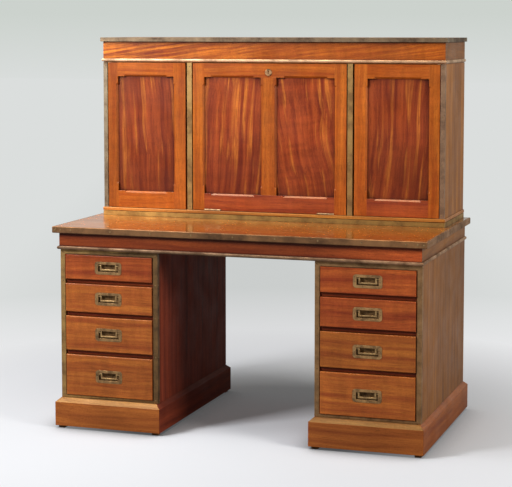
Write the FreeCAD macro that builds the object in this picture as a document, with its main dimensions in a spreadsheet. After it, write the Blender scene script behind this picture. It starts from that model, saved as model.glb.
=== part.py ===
import FreeCAD, Part
import Sketcher
import math
import os
import re

# A campaign desk in three lifts: two pedestals of drawers on plinths, a desk section with a
# frieze under its top, and a cabinet with two doors and a fall at the back of the top.
# +Z is up, the front faces -Y, and the origin is on the floor under the middle of the desk.
# Heights add up from the floor, so each size below can be changed by itself.

SIZES = [
    # the whole desk
    ("desk_width", 1442, "across the top, over its brass edging"),
    ("desk_depth", 785, "front to back of the top, over its brass edging"),
    ("strip_thickness", 2, "brass strips that cover the edges of boards"),
    ("fit_gap", 0.2, "room round a piece that is let into wood"),
    # feet and plinths
    ("foot_height", 10, "the plinths stand this far off the floor"),
    ("foot_size", 24, ""),
    ("foot_inset", 10, "foot in from both faces of the plinth corner"),
    ("plinth_height", 105.5, ""),
    ("plinth_thickness", 34, ""),
    ("plinth_side", 15.5, "plinth beyond the pedestal at the sides and back"),
    ("plinth_front", 28, "plinth beyond the pedestal at the front"),
    ("bevel_rise", 15, "height of the bevel along the plinth's top edge"),
    ("bevel_run", 17, "depth of the bevel along the plinth's top edge"),
    # pedestals
    ("pedestal_width", 394.5, ""),
    ("pedestal_inset", 0.5, "pedestal side in from the frieze above it"),
    ("pedestal_setback", 9.5, "pedestal front behind the frieze above it"),
    ("side_thickness", 20, ""),
    ("pedestal_bottom", 10, "thickness of the board under the lowest drawer"),
    ("pedestal_ceiling", 18.5, "thickness of the board over the top drawer"),
    ("back_thickness", 9, ""),
    ("corner_strip", 18, "width of each leg of the brass corner strips"),
    ("rail_height", 14.5, "rails between the drawers"),
    ("rail_depth", 60, ""),
    ("rail_setback", 7, "rail front behind the brass strips"),
    ("runner_width", 24, ""),
    # drawers, numbered from the top; each opening is the space between two rails
    ("opening_1", 96, ""),
    ("opening_2", 110, ""),
    ("opening_3", 133, ""),
    ("opening_4", 158.5, ""),
    ("front_gap", 1.5, "gap round a drawer front"),
    ("front_proud", 5, "drawer front before the brass strips"),
    ("front_thickness", 24, ""),
    ("front_arris", 1.6, "bevel along the drawer front's edges"),
    ("lining", 12, "thickness of the drawer sides and back"),
    ("lining_drop", 12, "drawer sides lower than the front's top edge"),
    ("running_gap", 0.3, "under the drawer sides"),
    ("drawer_bottom", 7, "thickness of the drawer bottom"),
    ("bottom_lift", 8, "drawer bottom above the lower edge of the sides"),
    ("groove_depth", 6, "grooves that hold the drawer bottom"),
    ("drawer_rear_space", 36, "behind the drawer box"),
    # flush handles
    ("plate_width", 108, ""),
    ("plate_height", 48, ""),
    ("plate_thickness", 2.5, ""),
    ("plate_proud", 0.8, "plate before the drawer front"),
    ("plate_corner", 11, "corner radius of the plate"),
    ("cup_width", 82, "inside the sunk cup"),
    ("cup_height", 28, "inside the sunk cup"),
    ("cup_depth", 13, "plate face to the bottom of the cup"),
    ("cup_wall", 2.5, ""),
    ("cup_dish", 7, "rounding at the bottom of the cup"),
    ("bail_width", 67.5, "over the two arms"),
    ("bail_bar", 6, "width of the arms and height of the bar"),
    ("bail_thickness", 4, ""),
    ("bail_bevel", 0.9, "bevel along the bail's edges"),
    ("bail_sink", 2.6, "pivot behind the plate face"),
    ("bail_top", 4.4, "pivot below the top of the cup"),
    ("bail_room", 4.4, "between the bar and the bottom of the cup"),
    ("bail_pin", 1.5, "radius of the pivot pins"),
    ("pin_reach", 1.5, "pivot pin into each wall of the cup"),
    ("seat_reach", 2, "square seat for the pin into each wall of the cup"),
    ("pin_clearance", 0.05, "radial running clearance of every pin"),
    # desk section
    ("top_thickness", 24.5, ""),
    ("top_overhang_side", 21.5, ""),
    ("top_overhang_front", 17, ""),
    ("edging_thickness", 5, "brass edging of the top"),
    ("edging_arris", 2, "bevel along the edging's upper and lower edges"),
    ("corner_leg", 46, "brass corner piece, along each side"),
    ("frieze_height", 62.5, ""),
    ("frieze_thickness", 22, ""),
    ("desk_bead_height", 12, ""),
    ("desk_bead_depth", 7, ""),
    ("bead_slope", 0.45, "part of a bead's depth that slopes"),
    ("bead_shoulder", 0.3, "part of a bead's height that slopes, at the top and at the bottom"),
    # cabinet
    ("writing_depth", 422, "clear top in front of the cabinet"),
    ("cabinet_inset", 30, "cabinet side in from the edge of the top"),
    ("base_height", 20, ""),
    ("base_thickness", 20, ""),
    ("base_strip_height", 18, "brass strip round the base"),
    ("base_strip_depth", 3, ""),
    ("wall_thickness", 17, "cabinet sides"),
    ("floor_thickness", 12, ""),
    ("floor_nosing", 4, "cabinet floor beyond the carcass"),
    ("nosing_round", 3, "rounding of the cabinet floor's upper edge"),
    ("door_opening", 579, "height between the cabinet floor and top"),
    ("board_thickness", 14, "cabinet top and shelves"),
    ("partition_thickness", 20, ""),
    ("fall_opening", 631, "width between the partitions"),
    ("cabinet_strip", 17, "width of each leg of the cabinet's corner strips"),
    ("cabinet_frieze_height", 67.5, ""),
    ("cabinet_bead_height", 11.5, ""),
    ("cabinet_bead_depth", 5, ""),
    ("cornice_thickness", 16, ""),
    ("cornice_overhang", 9, ""),
    ("cornice_edging", 3, "thickness of the brass on the cornice"),
    ("shelf_setback", 12, "shelf front behind the doors"),
    ("divider_thickness", 8, ""),
    ("pigeonhole_height", 250, ""),
    # doors and fall
    ("door_thickness", 22, ""),
    ("door_gap", 1.5, "above and below the doors and the fall"),
    ("hanging_gap", 1.2, "beside the pivots"),
    ("left_door_gap", 7, "beside the left door's free edge"),
    ("right_door_gap", 7, "beside the right door's free edge"),
    ("stile_width", 50, "the stile at a door's free edge"),
    ("hanging_stile", 43, "the stile that carries the pivots"),
    ("top_rail", 54.5, ""),
    ("bottom_rail", 66, ""),
    ("panel_thickness", 8, ""),
    ("panel_setback", 8.5, "panel face behind the frame face"),
    ("panel_tongue", 9, "panel inside its groove"),
    ("groove_gap", 0.2, "room round the panel in its groove"),
    ("chamfer", 6.5, "stopped chamfer round the panels"),
    ("chamfer_stop", 28, "chamfer ends this far from the corner"),
    ("pivot_inset", 6, "pivot axis in from the face and the edge of the door"),
    ("pivot_radius", 2.5, ""),
    ("pivot_length", 11, "pin above its plate"),
    ("pivot_end_gap", 1, "between the pin's end and the end of its bore"),
    ("pivot_plate", 1.2, "thickness of the plate"),
    ("pivot_plate_width", 12, ""),
    ("pivot_plate_length", 40, ""),
    ("hanging_round", 4, "rounding of the door's hanging edge"),
    ("fall_thickness", 24, ""),
    ("fall_gap", 4, "beside the fall"),
    ("fall_stile", 47, ""),
    ("fall_middle", 62, "middle stile of the fall"),
    # fall hinges
    ("hinge_length", 66, ""),
    ("hinge_offset", 230, "hinge centre from the middle of the fall"),
    ("knuckle_radius", 3, ""),
    ("knuckle_proud", 1, "hinge pin before the face of the fall"),
    ("knuckle_rise", 3.5, "hinge pin above the cabinet floor"),
    ("knuckle_length", 22, "middle knuckle"),
    ("knuckle_gap", 0.3, "between knuckles"),
    ("notch_room", 0.4, "between a knuckle and the wood round it"),
    ("hinge_pin", 1.5, "radius of the pin"),
    ("pin_inset", 1, "each end of the pin inside its knuckle"),
    ("leaf_thickness", 1.2, ""),
    ("leaf_depth", 18, ""),
    # fall lock
    ("lock_height", 35, "keyhole below the top edge of the fall"),
    ("lock_rose", 14, "radius of the keyhole plate"),
    ("rose_thickness", 3, ""),
    ("rose_dome", 1.6, "bevel round the keyhole plate"),
    ("key_radius", 3, ""),
    ("key_slot", 7, "depth of the keyhole below its round part"),
    ("key_slot_width", 2.4, ""),
    ("lock_case_width", 64, ""),
    ("lock_case_height", 32, ""),
    ("lock_case_rise", 8, "middle of the case above the keyhole"),
    ("lock_case_depth", 11, ""),
]

# Places and sizes that follow from the sizes above. Each is a formula in those names.
DERIVED = {
    # across
    "top_half": "desk_width / 2",
    "frieze_half": "top_half - top_overhang_side",
    "pedestal_side": "frieze_half - pedestal_inset",
    "pedestal_middle": "pedestal_side - pedestal_width / 2",
    "case_width": "pedestal_width - 2 * side_thickness",
    "plinth_width": "pedestal_width + 2 * plinth_side",
    "cabinet_half": "top_half - cabinet_inset",
    "cabinet_inner": "cabinet_half - wall_thickness",
    "partition_inner": "fall_opening / 2",
    "partition_outer": "partition_inner + partition_thickness",
    "cupboard_width": "cabinet_inner - partition_outer",
    # front to back
    "desk_front": "-(desk_depth + plinth_side) / 2",
    "desk_back": "desk_front + desk_depth",
    "frieze_front": "desk_front + top_overhang_front",
    "pedestal_front": "frieze_front + pedestal_setback",
    "case_front": "pedestal_front + strip_thickness",
    "case_depth": "desk_back - case_front",
    "case_inside_back": "desk_back - back_thickness",
    "rail_front": "pedestal_front + rail_setback",
    "plinth_face": "pedestal_front - plinth_front",
    "plinth_depth": "desk_back + plinth_side - plinth_face",
    "drawer_face": "pedestal_front - front_proud",
    "drawer_box_front": "drawer_face + front_thickness",
    "drawer_box_depth": "case_inside_back - drawer_rear_space - drawer_box_front",
    "cabinet_front": "desk_front + writing_depth",
    "carcass_front": "cabinet_front + strip_thickness",
    "carcass_depth": "desk_back - carcass_front",
    "cabinet_inside_back": "desk_back - back_thickness",
    "shelf_front": "cabinet_front + fall_thickness + shelf_setback",
    "shelf_depth": "cabinet_inside_back - shelf_front",
    # up
    "plinth_top": "foot_height + plinth_height",
    "floor_4": "plinth_top + pedestal_bottom",
    "floor_3": "floor_4 + opening_4 + rail_height",
    "floor_2": "floor_3 + opening_3 + rail_height",
    "floor_1": "floor_2 + opening_2 + rail_height",
    "case_ceiling": "floor_1 + opening_1",
    "pedestal_top": "case_ceiling + pedestal_ceiling",
    "case_height": "pedestal_top - plinth_top",
    "top_underside": "pedestal_top + frieze_height",
    "desk_height": "top_underside + top_thickness",
    "cabinet_floor": "desk_height + base_height",
    "door_floor": "cabinet_floor + floor_thickness",
    "door_ceiling": "door_floor + door_opening",
    "cabinet_top": "door_ceiling + board_thickness",
    "cornice_underside": "cabinet_top + cabinet_frieze_height",
    "overall_height": "cornice_underside + cornice_thickness",
    "beyond_all": "3 * overall_height",
    # doors and fall
    "door_height": "door_opening - 2 * door_gap",
    "door_bottom": "door_floor + door_gap",
    "door_middle": "door_floor + door_opening / 2",
    "panel_height": "door_height - top_rail - bottom_rail",
    "panel_middle": "door_bottom + bottom_rail + panel_height / 2",
    "panel_rise": "(bottom_rail - top_rail) / 2",
    "groove_width": "panel_thickness + 2 * groove_gap",
    "groove_front": "panel_setback - groove_gap",
    "groove_bed": "panel_tongue + groove_gap",
    "fall_width": "fall_opening - 2 * fall_gap",
    "fall_panel": "(fall_width - 2 * fall_stile - fall_middle) / 2",
    "fall_panel_middle": "(fall_panel + fall_middle) / 2",
    "pin_height": "door_floor + knuckle_rise",
    "pin_front": "cabinet_front - knuckle_proud",
    "lock_middle": "door_ceiling - door_gap - lock_height",
    # handles
    "cup_outer_width": "cup_width + 2 * cup_wall",
    "cup_outer_height": "cup_height + 2 * cup_wall",
    "cup_outer_depth": "cup_depth + cup_wall",
    "bail_drop": "cup_height - bail_top - bail_room",
    "plate_face": "drawer_face - plate_proud",
}

V = FreeCAD.Vector
UP = V(0, 0, 1)
BACKWARDS = V(0, 1, 0)
ACROSS = V(1, 0, 0)
NAMES = {name for name, value, note in SIZES}
PIGEONHOLES = 5
HAIR = 0.01
LEAST_CUT = 0.001

doc = FreeCAD.newDocument("campaign_desk")
finished = []


def fill_sheet():
    """Write the driving sizes into the sheet, one to a row, each with its name as alias."""
    sheet = doc.addObject("Spreadsheet::Sheet", "dims")
    for row, (name, value, note) in enumerate(SIZES, 1):
        sheet.set(f"A{row}", name)
        sheet.set(f"B{row}", str(value))
        sheet.setAlias(f"B{row}", name)
        sheet.set(f"C{row}", note)
    doc.recompute()


def formula(text):
    """Turn the plain names in a formula into references to cells of the sheet."""
    def spell(match):
        name = match.group()
        if name in DERIVED:
            return "(" + formula(DERIVED[name]) + ")"
        return "dims." + name if name in NAMES else name
    return re.sub(r"[a-z_]\w*", spell, text)


def bind(item, **sizes):
    """Bind properties of an object to formulas."""
    for name, text in sizes.items():
        item.setExpression(name, formula(text))
    return item


def place(item, x="0", y="0", z="0", axis=UP, turn=0):
    """Turn an object about an axis and bind its place to three formulas."""
    item.Placement = FreeCAD.Placement(V(0, 0, 0), FreeCAD.Rotation(axis, turn))
    for letter, text in (("x", x), ("y", y), ("z", z)):
        item.setExpression("Placement.Base." + letter, formula(text))
    return item


def finish(item, label, x="0", y="0", z="0"):
    """Name a sub-part, put it in its place and list it for export."""
    place(item, x, y, z)
    item.Label = label
    finished.append(item)
    return item


def group(label, pieces, x="0", y="0", z="0"):
    """Gather separate solids in one sub-part."""
    compound = doc.addObject("Part::Compound", label)
    compound.Links = pieces
    return finish(compound, label, x, y, z)


# ---- boards, strips and other plain pieces ----

def board(name, low, size):
    """A plain board between its low corner and its size, both given as formulas."""
    box = doc.addObject("Part::Box", name)
    place(box, *low)
    return bind(box, Length=size[0], Width=size[1], Height=size[2])


def cut(name, base, tool):
    """Take one solid away from another."""
    result = doc.addObject("Part::Cut", name)
    result.Base = base
    result.Tool = tool
    return result


def cylinder(name, at, radius, length, axis=UP, turn=0):
    """A round piece that stands on a point."""
    rod = doc.addObject("Part::Cylinder", name)
    place(rod, *at, axis, turn)
    return bind(rod, Radius=radius, Height=length)


# ---- bodies made of sketches and features ----

def new_sketch(body, role, name):
    """An empty sketch on one of the body's own origin planes."""
    sketch = body.newObject("Sketcher::SketchObject", name)
    for plane in body.Origin.OriginFeatures:
        if plane.Role == role:
            sketch.AttachmentSupport = [(plane, "")]
    sketch.MapMode = "FlatFace"
    return sketch


def fix_point(sketch, edge, end, at):
    """Hold a point of the sketch at two formulas, measured from the sketch's origin."""
    for kind, text in zip(("DistanceX", "DistanceY"), at):
        value = sketch.evalExpression(formula(text))
        number = sketch.addConstraint(Sketcher.Constraint(kind, -1, 1, edge, end, value))
        sketch.setExpression(f"Constraints[{number}]", formula(text))


def outline(sketch, corners):
    """A closed outline of straight edges through corners given as pairs of formulas."""
    points = [V(*(sketch.evalExpression(formula(text)) for text in corner)) for corner in corners]
    first = sketch.GeometryCount
    count = len(points)
    for index, point in enumerate(points):
        sketch.addGeometry(Part.LineSegment(point, points[(index + 1) % count]))
    for index, corner in enumerate(corners):
        following = first + (index + 1) % count
        sketch.addConstraint(Sketcher.Constraint("Coincident", first + index, 2, following, 1))
        fix_point(sketch, first + index, 1, corner)


def rectangle(sketch, left, bottom, right, top):
    """A rectangle between two opposite corners."""
    outline(sketch, [(left, bottom), (right, bottom), (right, top), (left, top)])


def circle(sketch, at, radius):
    """A circle with its centre at two formulas."""
    centre = V(*(sketch.evalExpression(formula(text)) for text in at))
    value = sketch.evalExpression(formula(radius))
    edge = sketch.addGeometry(Part.Circle(centre, UP, value))
    fix_point(sketch, edge, 3, at)
    number = sketch.addConstraint(Sketcher.Constraint("Radius", edge, value))
    sketch.setExpression(f"Constraints[{number}]", formula(radius))


def pad(body, sketch, length, side="One side", reverse=False):
    """Pull a sketch out into a solid."""
    feature = body.newObject("PartDesign::Pad", sketch.Name + "_pad")
    feature.Profile = sketch
    feature.SideType = side
    feature.Reversed = reverse
    return bind(feature, Length=length)


def pocket(body, sketch, length, side="One side", reverse=False):
    """Sink a sketch into the body."""
    feature = body.newObject("PartDesign::Pocket", sketch.Name + "_pocket")
    feature.Profile = sketch
    feature.SideType = side
    feature.Reversed = reverse
    return bind(feature, Length=length)


def chosen_edges(feature, chosen):
    """The names of a feature's edges for which chosen(edge) is true."""
    doc.recompute()
    return [f"Edge{n}" for n, edge in enumerate(feature.Shape.Edges, 1) if chosen(edge)]


def soften(body, feature, radius, chosen):
    """Round the chosen edges of a feature."""
    fillet = body.newObject("PartDesign::Fillet", body.Name + "_round")
    fillet.Base = (feature, chosen_edges(feature, chosen))
    return bind(fillet, Radius=radius)


def bevel(body, feature, size, chosen):
    """Bevel the chosen edges of a feature."""
    chamfer = body.newObject("PartDesign::Chamfer", body.Name + "_bevel")
    chamfer.Base = (feature, chosen_edges(feature, chosen))
    return bind(chamfer, Size=size)


def near(value, wanted):
    """Whether a length is the wanted one to within a hair."""
    return abs(value - wanted) < HAIR


def runs_along(edge, direction):
    """Whether a straight edge runs along a direction."""
    return isinstance(edge.Curve, Part.Line) and near(abs(edge.Curve.Direction.dot(direction)), 1)


def mitre(body, length, width, ends):
    """Cut a strip's ends at 45 degrees, from its outer edge inwards; ends are +1 and -1."""
    sketch = new_sketch(body, "XY_Plane", body.Name + "_mitre")
    for end in ends:
        outline(sketch, [
            (f"{end} * ({length}) / 2", "0"),
            (f"{end} * (({length}) / 2 + {width})", "0"),
            (f"{end} * (({length}) / 2 + {width})", f"2 * {width}"),
            (f"{end} * (({length}) / 2 - 2 * {width})", f"2 * {width}"),
        ])
    pocket(body, sketch, "beyond_all", "Symmetric")


def strip(name, section, length, width, ends):
    """A straight strip along X with a drawn section and mitred ends.

    The outer face of the strip lies on Y = 0 and the section is drawn inwards from it."""
    body = doc.addObject("PartDesign::Body", name)
    sketch = new_sketch(body, "YZ_Plane", name + "_section")
    section(sketch)
    pad(body, sketch, length, "Symmetric")
    if ends:
        mitre(body, length, width, ends)
    return body


def four_sides(name, section, width, half_length, front, back):
    """Four mitred strips round a rectangle whose outer faces are given."""
    across = f"2 * ({half_length})"
    along = f"({back}) - ({front})"
    middle = f"(({back}) + ({front})) / 2"
    ends = (-1, 1)
    return [
        place(strip(name + "_front", section, across, width, ends), "0", front),
        place(strip(name + "_back", section, across, width, ends), "0", back, turn=180),
        place(strip(name + "_left", section, along, width, ends), f"-({half_length})", middle, turn=-90),
        place(strip(name + "_right", section, along, width, ends), half_length, middle, turn=90),
    ]


def three_sides(name, section, width, half_length, front, back):
    """Strips along the front and both sides, mitred at the front and square at the back."""
    across = f"2 * ({half_length})"
    along = f"({back}) - ({front})"
    middle = f"(({back}) + ({front})) / 2"
    return [
        place(strip(name + "_front", section, across, width, (-1, 1)), "0", front),
        place(strip(name + "_left", section, along, width, (1,)), f"-({half_length})", middle, turn=-90),
        place(strip(name + "_right", section, along, width, (-1,)), half_length, middle, turn=90),
    ]


def plain_section(depth, bottom, top):
    """The section of a plain strip."""
    return lambda sketch: rectangle(sketch, "0", bottom, depth, top)


def bead_section(depth, bottom, height):
    """The section of a bead: flat at the back, round at the front."""
    def draw(sketch):
        nose = f"({depth}) * bead_slope"
        outline(sketch, [
            ("0", f"({bottom}) + ({height}) * bead_shoulder"),
            (nose, bottom),
            (depth, bottom),
            (depth, f"({bottom}) + ({height})"),
            (nose, f"({bottom}) + ({height})"),
            ("0", f"({bottom}) + ({height}) * (1 - bead_shoulder)"),
        ])
    return draw


def corner_strip(name, leg, low, height, side, front, x):
    """A brass angle round an upright front corner; side is -1 or +1 for the way it faces."""
    body = doc.addObject("PartDesign::Body", name)
    sketch = new_sketch(body, "XY_Plane", name + "_section")
    outline(sketch, [
        ("0", "0"),
        (f"{-side} * {leg}", "0"),
        (f"{-side} * {leg}", "strip_thickness"),
        (f"{-side} * strip_thickness", "strip_thickness"),
        (f"{-side} * strip_thickness", leg),
        ("0", leg),
    ])
    pad(body, sketch, height)
    return place(body, x, front, low)


# ---- plinths and pedestals ----

def plinth_section(sketch):
    """A board with a bevel along its outer top edge."""
    outline(sketch, [
        ("0", "foot_height"),
        ("plinth_thickness", "foot_height"),
        ("plinth_thickness", "plinth_top"),
        ("bevel_run", "plinth_top"),
        ("0", "plinth_top - bevel_rise"),
    ])


def make_plinth(name, side):
    """Four mitred boards under a pedestal."""
    boards = four_sides(name, plinth_section, "plinth_thickness", "plinth_width / 2",
                        "plinth_face", "plinth_face + plinth_depth")
    group(name + "_plinth", boards, f"{side} * pedestal_middle")


def make_feet():
    """Low square feet under the corners of both plinths, out of sight behind their faces."""
    feet = []
    for name, side in (("left", -1), ("right", 1)):
        for end in (-1, 1):
            middle = f"{side} * pedestal_middle + {end} * (plinth_width - foot_size) / 2"
            left = f"{middle} - {end} * foot_inset - foot_size / 2"
            for place_name, y in (("front", "plinth_face + foot_inset"),
                                  ("back", "plinth_face + plinth_depth - foot_inset - foot_size")):
                label = f"{name}_{place_name}_foot_{end + 2}"
                feet.append(board(label, (left, y, "0"), ("foot_size", "foot_size", "foot_height")))
    group("plinth_feet", feet)


def case_side(name, side):
    """A pedestal side with its front corner cut away for the brass angle."""
    left = "-pedestal_width / 2" if side < 0 else "case_width / 2"
    blank = board(name + "_blank", (left, "case_front", "plinth_top"),
                  ("side_thickness", "case_depth", "case_height"))
    notch_left = "-pedestal_width / 2" if side < 0 else "pedestal_width / 2 - strip_thickness"
    notch = board(name + "_notch", (notch_left, "case_front", "plinth_top"),
                  ("strip_thickness", "corner_strip - strip_thickness", "case_height"))
    return cut(name, blank, notch)


def make_case(name, side):
    """Pedestal carcass: two sides, a bottom, a ceiling and a back between them."""
    inside = "-case_width / 2"
    pieces = [
        case_side(name + "_case_left", -1),
        case_side(name + "_case_right", 1),
        board(name + "_case_bottom", (inside, "case_front", "plinth_top"),
              ("case_width", "case_depth - back_thickness", "pedestal_bottom")),
        board(name + "_case_ceiling", (inside, "case_front", "case_ceiling"),
              ("case_width", "case_depth - back_thickness", "pedestal_ceiling")),
        board(name + "_case_back", (inside, "case_inside_back", "plinth_top"),
              ("case_width", "back_thickness", "case_height")),
    ]
    group(name + "_pedestal_case", pieces, f"{side} * pedestal_middle")


def make_rails(name, side):
    """Rails between the drawers, and the runners behind them that carry the drawers."""
    pieces = []
    for level in (1, 2, 3):
        low = f"floor_{level} - rail_height"
        pieces.append(board(f"{name}_rail_{level}", ("-case_width / 2", "rail_front", low),
                            ("case_width", "rail_depth", "rail_height")))
        for end, left in (("left", "-case_width / 2"), ("right", "case_width / 2 - runner_width")):
            start = "rail_front + rail_depth"
            pieces.append(board(f"{name}_runner_{level}_{end}", (left, start, low),
                                ("runner_width", f"case_inside_back - ({start})", "rail_height")))
    group(name + "_drawer_rails", pieces, f"{side} * pedestal_middle")


def make_pedestal_brass(name, side):
    """Angles on the front corners, and flat strips over the case bottom and ceiling edges."""
    half = "pedestal_width / 2"
    between = "pedestal_width - 2 * corner_strip"
    pieces = [
        corner_strip(name + "_angle_left", "corner_strip", "plinth_top", "case_height", -1,
                     "pedestal_front", f"-{half}"),
        corner_strip(name + "_angle_right", "corner_strip", "plinth_top", "case_height", 1,
                     "pedestal_front", half),
        board(name + "_strip_top", (f"corner_strip - {half}", "pedestal_front", "case_ceiling"),
              (between, "strip_thickness", "pedestal_ceiling")),
        board(name + "_strip_bottom", (f"corner_strip - {half}", "pedestal_front", "plinth_top"),
              (between, "strip_thickness", "pedestal_bottom")),
    ]
    group(name + "_pedestal_brass", pieces, f"{side} * pedestal_middle")


# ---- drawers and their handles ----

def drawer_front(name, height):
    """A drawer front with bevelled edges, sunk for the handle plate and deeper for its cup."""
    body = doc.addObject("PartDesign::Body", name)
    half_width = "(case_width / 2 - front_gap)"
    half_height = f"(({height}) / 2)"
    face = new_sketch(body, "XZ_Plane", name + "_face")
    rectangle(face, f"-{half_width}", f"-{half_height}", half_width, half_height)
    block = pad(body, face, "front_thickness", reverse=True)
    bevel(body, block, "front_arris", lambda edge: near(edge.CenterOfMass.y, 0))
    seat = new_sketch(body, "XZ_Plane", name + "_seat")
    rounded_outline(seat, "plate_width / 2 + fit_gap", "plate_height / 2 + fit_gap",
                    "plate_corner + fit_gap")
    pocket(body, seat, "plate_thickness - plate_proud")
    mortise = new_sketch(body, "XZ_Plane", name + "_mortise")
    rectangle(mortise, "-(cup_outer_width / 2 + fit_gap)", "-(cup_outer_height / 2 + fit_gap)",
              "cup_outer_width / 2 + fit_gap", "cup_outer_height / 2 + fit_gap")
    pocket(body, mortise, "cup_outer_depth - plate_proud + fit_gap")
    return body


def rounded_outline(sketch, half_width, half_height, radius):
    """A rectangle about the sketch's origin whose four corners are arcs."""
    values = [sketch.evalExpression(formula(text)) for text in (half_width, half_height, radius)]
    wide, high, bend = values
    inner_x = f"({half_width}) - ({radius})"
    inner_y = f"({half_height}) - ({radius})"
    quarter = math.pi / 2
    arcs = []
    for turn, (sx, sy) in enumerate(((1, 1), (-1, 1), (-1, -1), (1, -1))):
        ring = Part.Circle(V(sx * (wide - bend), sy * (high - bend)), UP, bend)
        arc = sketch.addGeometry(Part.ArcOfCircle(ring, turn * quarter, (turn + 1) * quarter))
        fix_point(sketch, arc, 3, (f"{sx} * ({inner_x})", f"{sy} * ({inner_y})"))
        number = sketch.addConstraint(Sketcher.Constraint("Radius", arc, bend))
        sketch.setExpression(f"Constraints[{number}]", formula(radius))
        arcs.append(arc)
    for turn, arc in enumerate(arcs):
        following = arcs[(turn + 1) % 4]
        start = sketch.getPoint(arc, 2)
        end = sketch.getPoint(following, 1)
        line = sketch.addGeometry(Part.LineSegment(start, end))
        sketch.addConstraint(Sketcher.Constraint("Tangent", arc, 2, line, 1))
        sketch.addConstraint(Sketcher.Constraint("Tangent", line, 2, following, 1))


def make_drawer(name, side, level):
    """One drawer: front, two grooved sides, a back and a bottom, as separate boards."""
    label = f"{name}_drawer_{level}"
    floor = f"(floor_{level} + running_gap)"
    front_height = f"opening_{level} - 2 * front_gap"
    front_middle = f"floor_{level} + opening_{level} / 2"
    lining_height = f"(opening_{level} - front_gap - running_gap - lining_drop)"
    half = "(case_width / 2 - front_gap)"
    bottom_low = f"{floor} + bottom_lift"
    bottom_half = f"({half} - lining + groove_depth)"
    inside = f"({half} - lining)"
    front = drawer_front(label + "_front", front_height)
    place(front, "0", "drawer_face", front_middle)
    bottom = board(label + "_bottom", (f"-{bottom_half}", "drawer_box_front", bottom_low),
                   (f"2 * {bottom_half}", "drawer_box_depth - lining", "drawer_bottom"))
    pieces = [front, bottom]
    for word, low_x in (("left", f"-{half}"), ("right", inside)):
        blank = board(f"{label}_{word}_blank", (low_x, "drawer_box_front", floor),
                      ("lining", "drawer_box_depth", lining_height))
        groove = board(f"{label}_{word}_groove", (f"-{bottom_half}", "drawer_box_front", bottom_low),
                       (f"2 * {bottom_half}", "drawer_box_depth - lining", "drawer_bottom"))
        pieces.append(cut(f"{label}_{word}_side", blank, groove))
    back_low = "drawer_box_front + drawer_box_depth - lining"
    pieces.append(board(label + "_back", (f"-{inside}", back_low, bottom_low),
                        (f"2 * {inside}", "lining", f"{lining_height} - bottom_lift")))
    group(label, pieces, f"{side} * pedestal_middle")


def make_handle_plate(name, side, level):
    """A brass plate with a dished cup behind it, and a square seat at each side for a pin."""
    label = f"{name}_handle_plate_{level}"
    body = doc.addObject("PartDesign::Body", label)
    face = new_sketch(body, "XZ_Plane", label + "_face")
    rounded_outline(face, "plate_width / 2", "plate_height / 2", "plate_corner")
    pad(body, face, "plate_thickness", reverse=True)
    shell = new_sketch(body, "XZ_Plane", label + "_shell")
    rectangle(shell, "-cup_outer_width / 2", "-cup_outer_height / 2",
              "cup_outer_width / 2", "cup_outer_height / 2")
    pad(body, shell, "cup_outer_depth", reverse=True)
    hollow = new_sketch(body, "XZ_Plane", label + "_hollow")
    rectangle(hollow, "-cup_width / 2", "-cup_height / 2", "cup_width / 2", "cup_height / 2")
    cup = pocket(body, hollow, "cup_depth")
    depth = hollow.evalExpression(formula("cup_depth"))
    width = hollow.evalExpression(formula("cup_width"))
    soften(body, cup, "cup_dish", lambda edge: runs_along(edge, ACROSS)
           and near(edge.CenterOfMass.y, depth) and near(edge.Length, width))
    seats = new_sketch(body, "YZ_Plane", label + "_seats")
    room = "(bail_pin + pin_clearance)"
    level_of_pin = "(cup_height / 2 - bail_top)"
    rectangle(seats, f"bail_sink - {room}", f"{level_of_pin} - {room}",
              f"bail_sink + {room}", f"{level_of_pin} + {room}")
    pocket(body, seats, "cup_width + 2 * seat_reach", "Symmetric")
    middle = f"floor_{level} + opening_{level} / 2"
    finish(body, label, f"{side} * pedestal_middle", "plate_face", middle)


def make_bail(name, side, level):
    """A flat bail: two arms, a grip bar and a pin out of the top of each arm."""
    label = f"{name}_bail_{level}"
    body = doc.addObject("PartDesign::Body", label)
    sketch = new_sketch(body, "XZ_Plane", label + "_shape")
    half = "bail_width / 2"
    inner = f"({half} - bail_bar)"
    crown = "bail_bar / 2"
    outline(sketch, [
        (f"-{half}", crown), (f"-{half}", "-bail_drop"),
        (half, "-bail_drop"), (half, crown),
        (inner, crown), (inner, "bail_bar - bail_drop"),
        (f"-{inner}", "bail_bar - bail_drop"), (f"-{inner}", crown),
    ])
    shape = pad(body, sketch, "bail_thickness", "Symmetric")
    bevel(body, shape, "bail_bevel", lambda edge: runs_along(edge, ACROSS) or runs_along(edge, UP))
    for end in (-1, 1):
        pin = body.newObject("PartDesign::AdditiveCylinder", f"{label}_pin_{end + 2}")
        place(pin, f"{end} * ({half} - bail_bar / 2)", axis=BACKWARDS, turn=90 * end)
        bind(pin, Radius="bail_pin",
             Height=f"cup_width / 2 + pin_reach - ({half} - bail_bar / 2)")
    middle = f"floor_{level} + opening_{level} / 2 + cup_height / 2 - bail_top"
    finish(body, label, f"{side} * pedestal_middle", "plate_face + bail_sink", middle)


# ---- desk section ----

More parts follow.
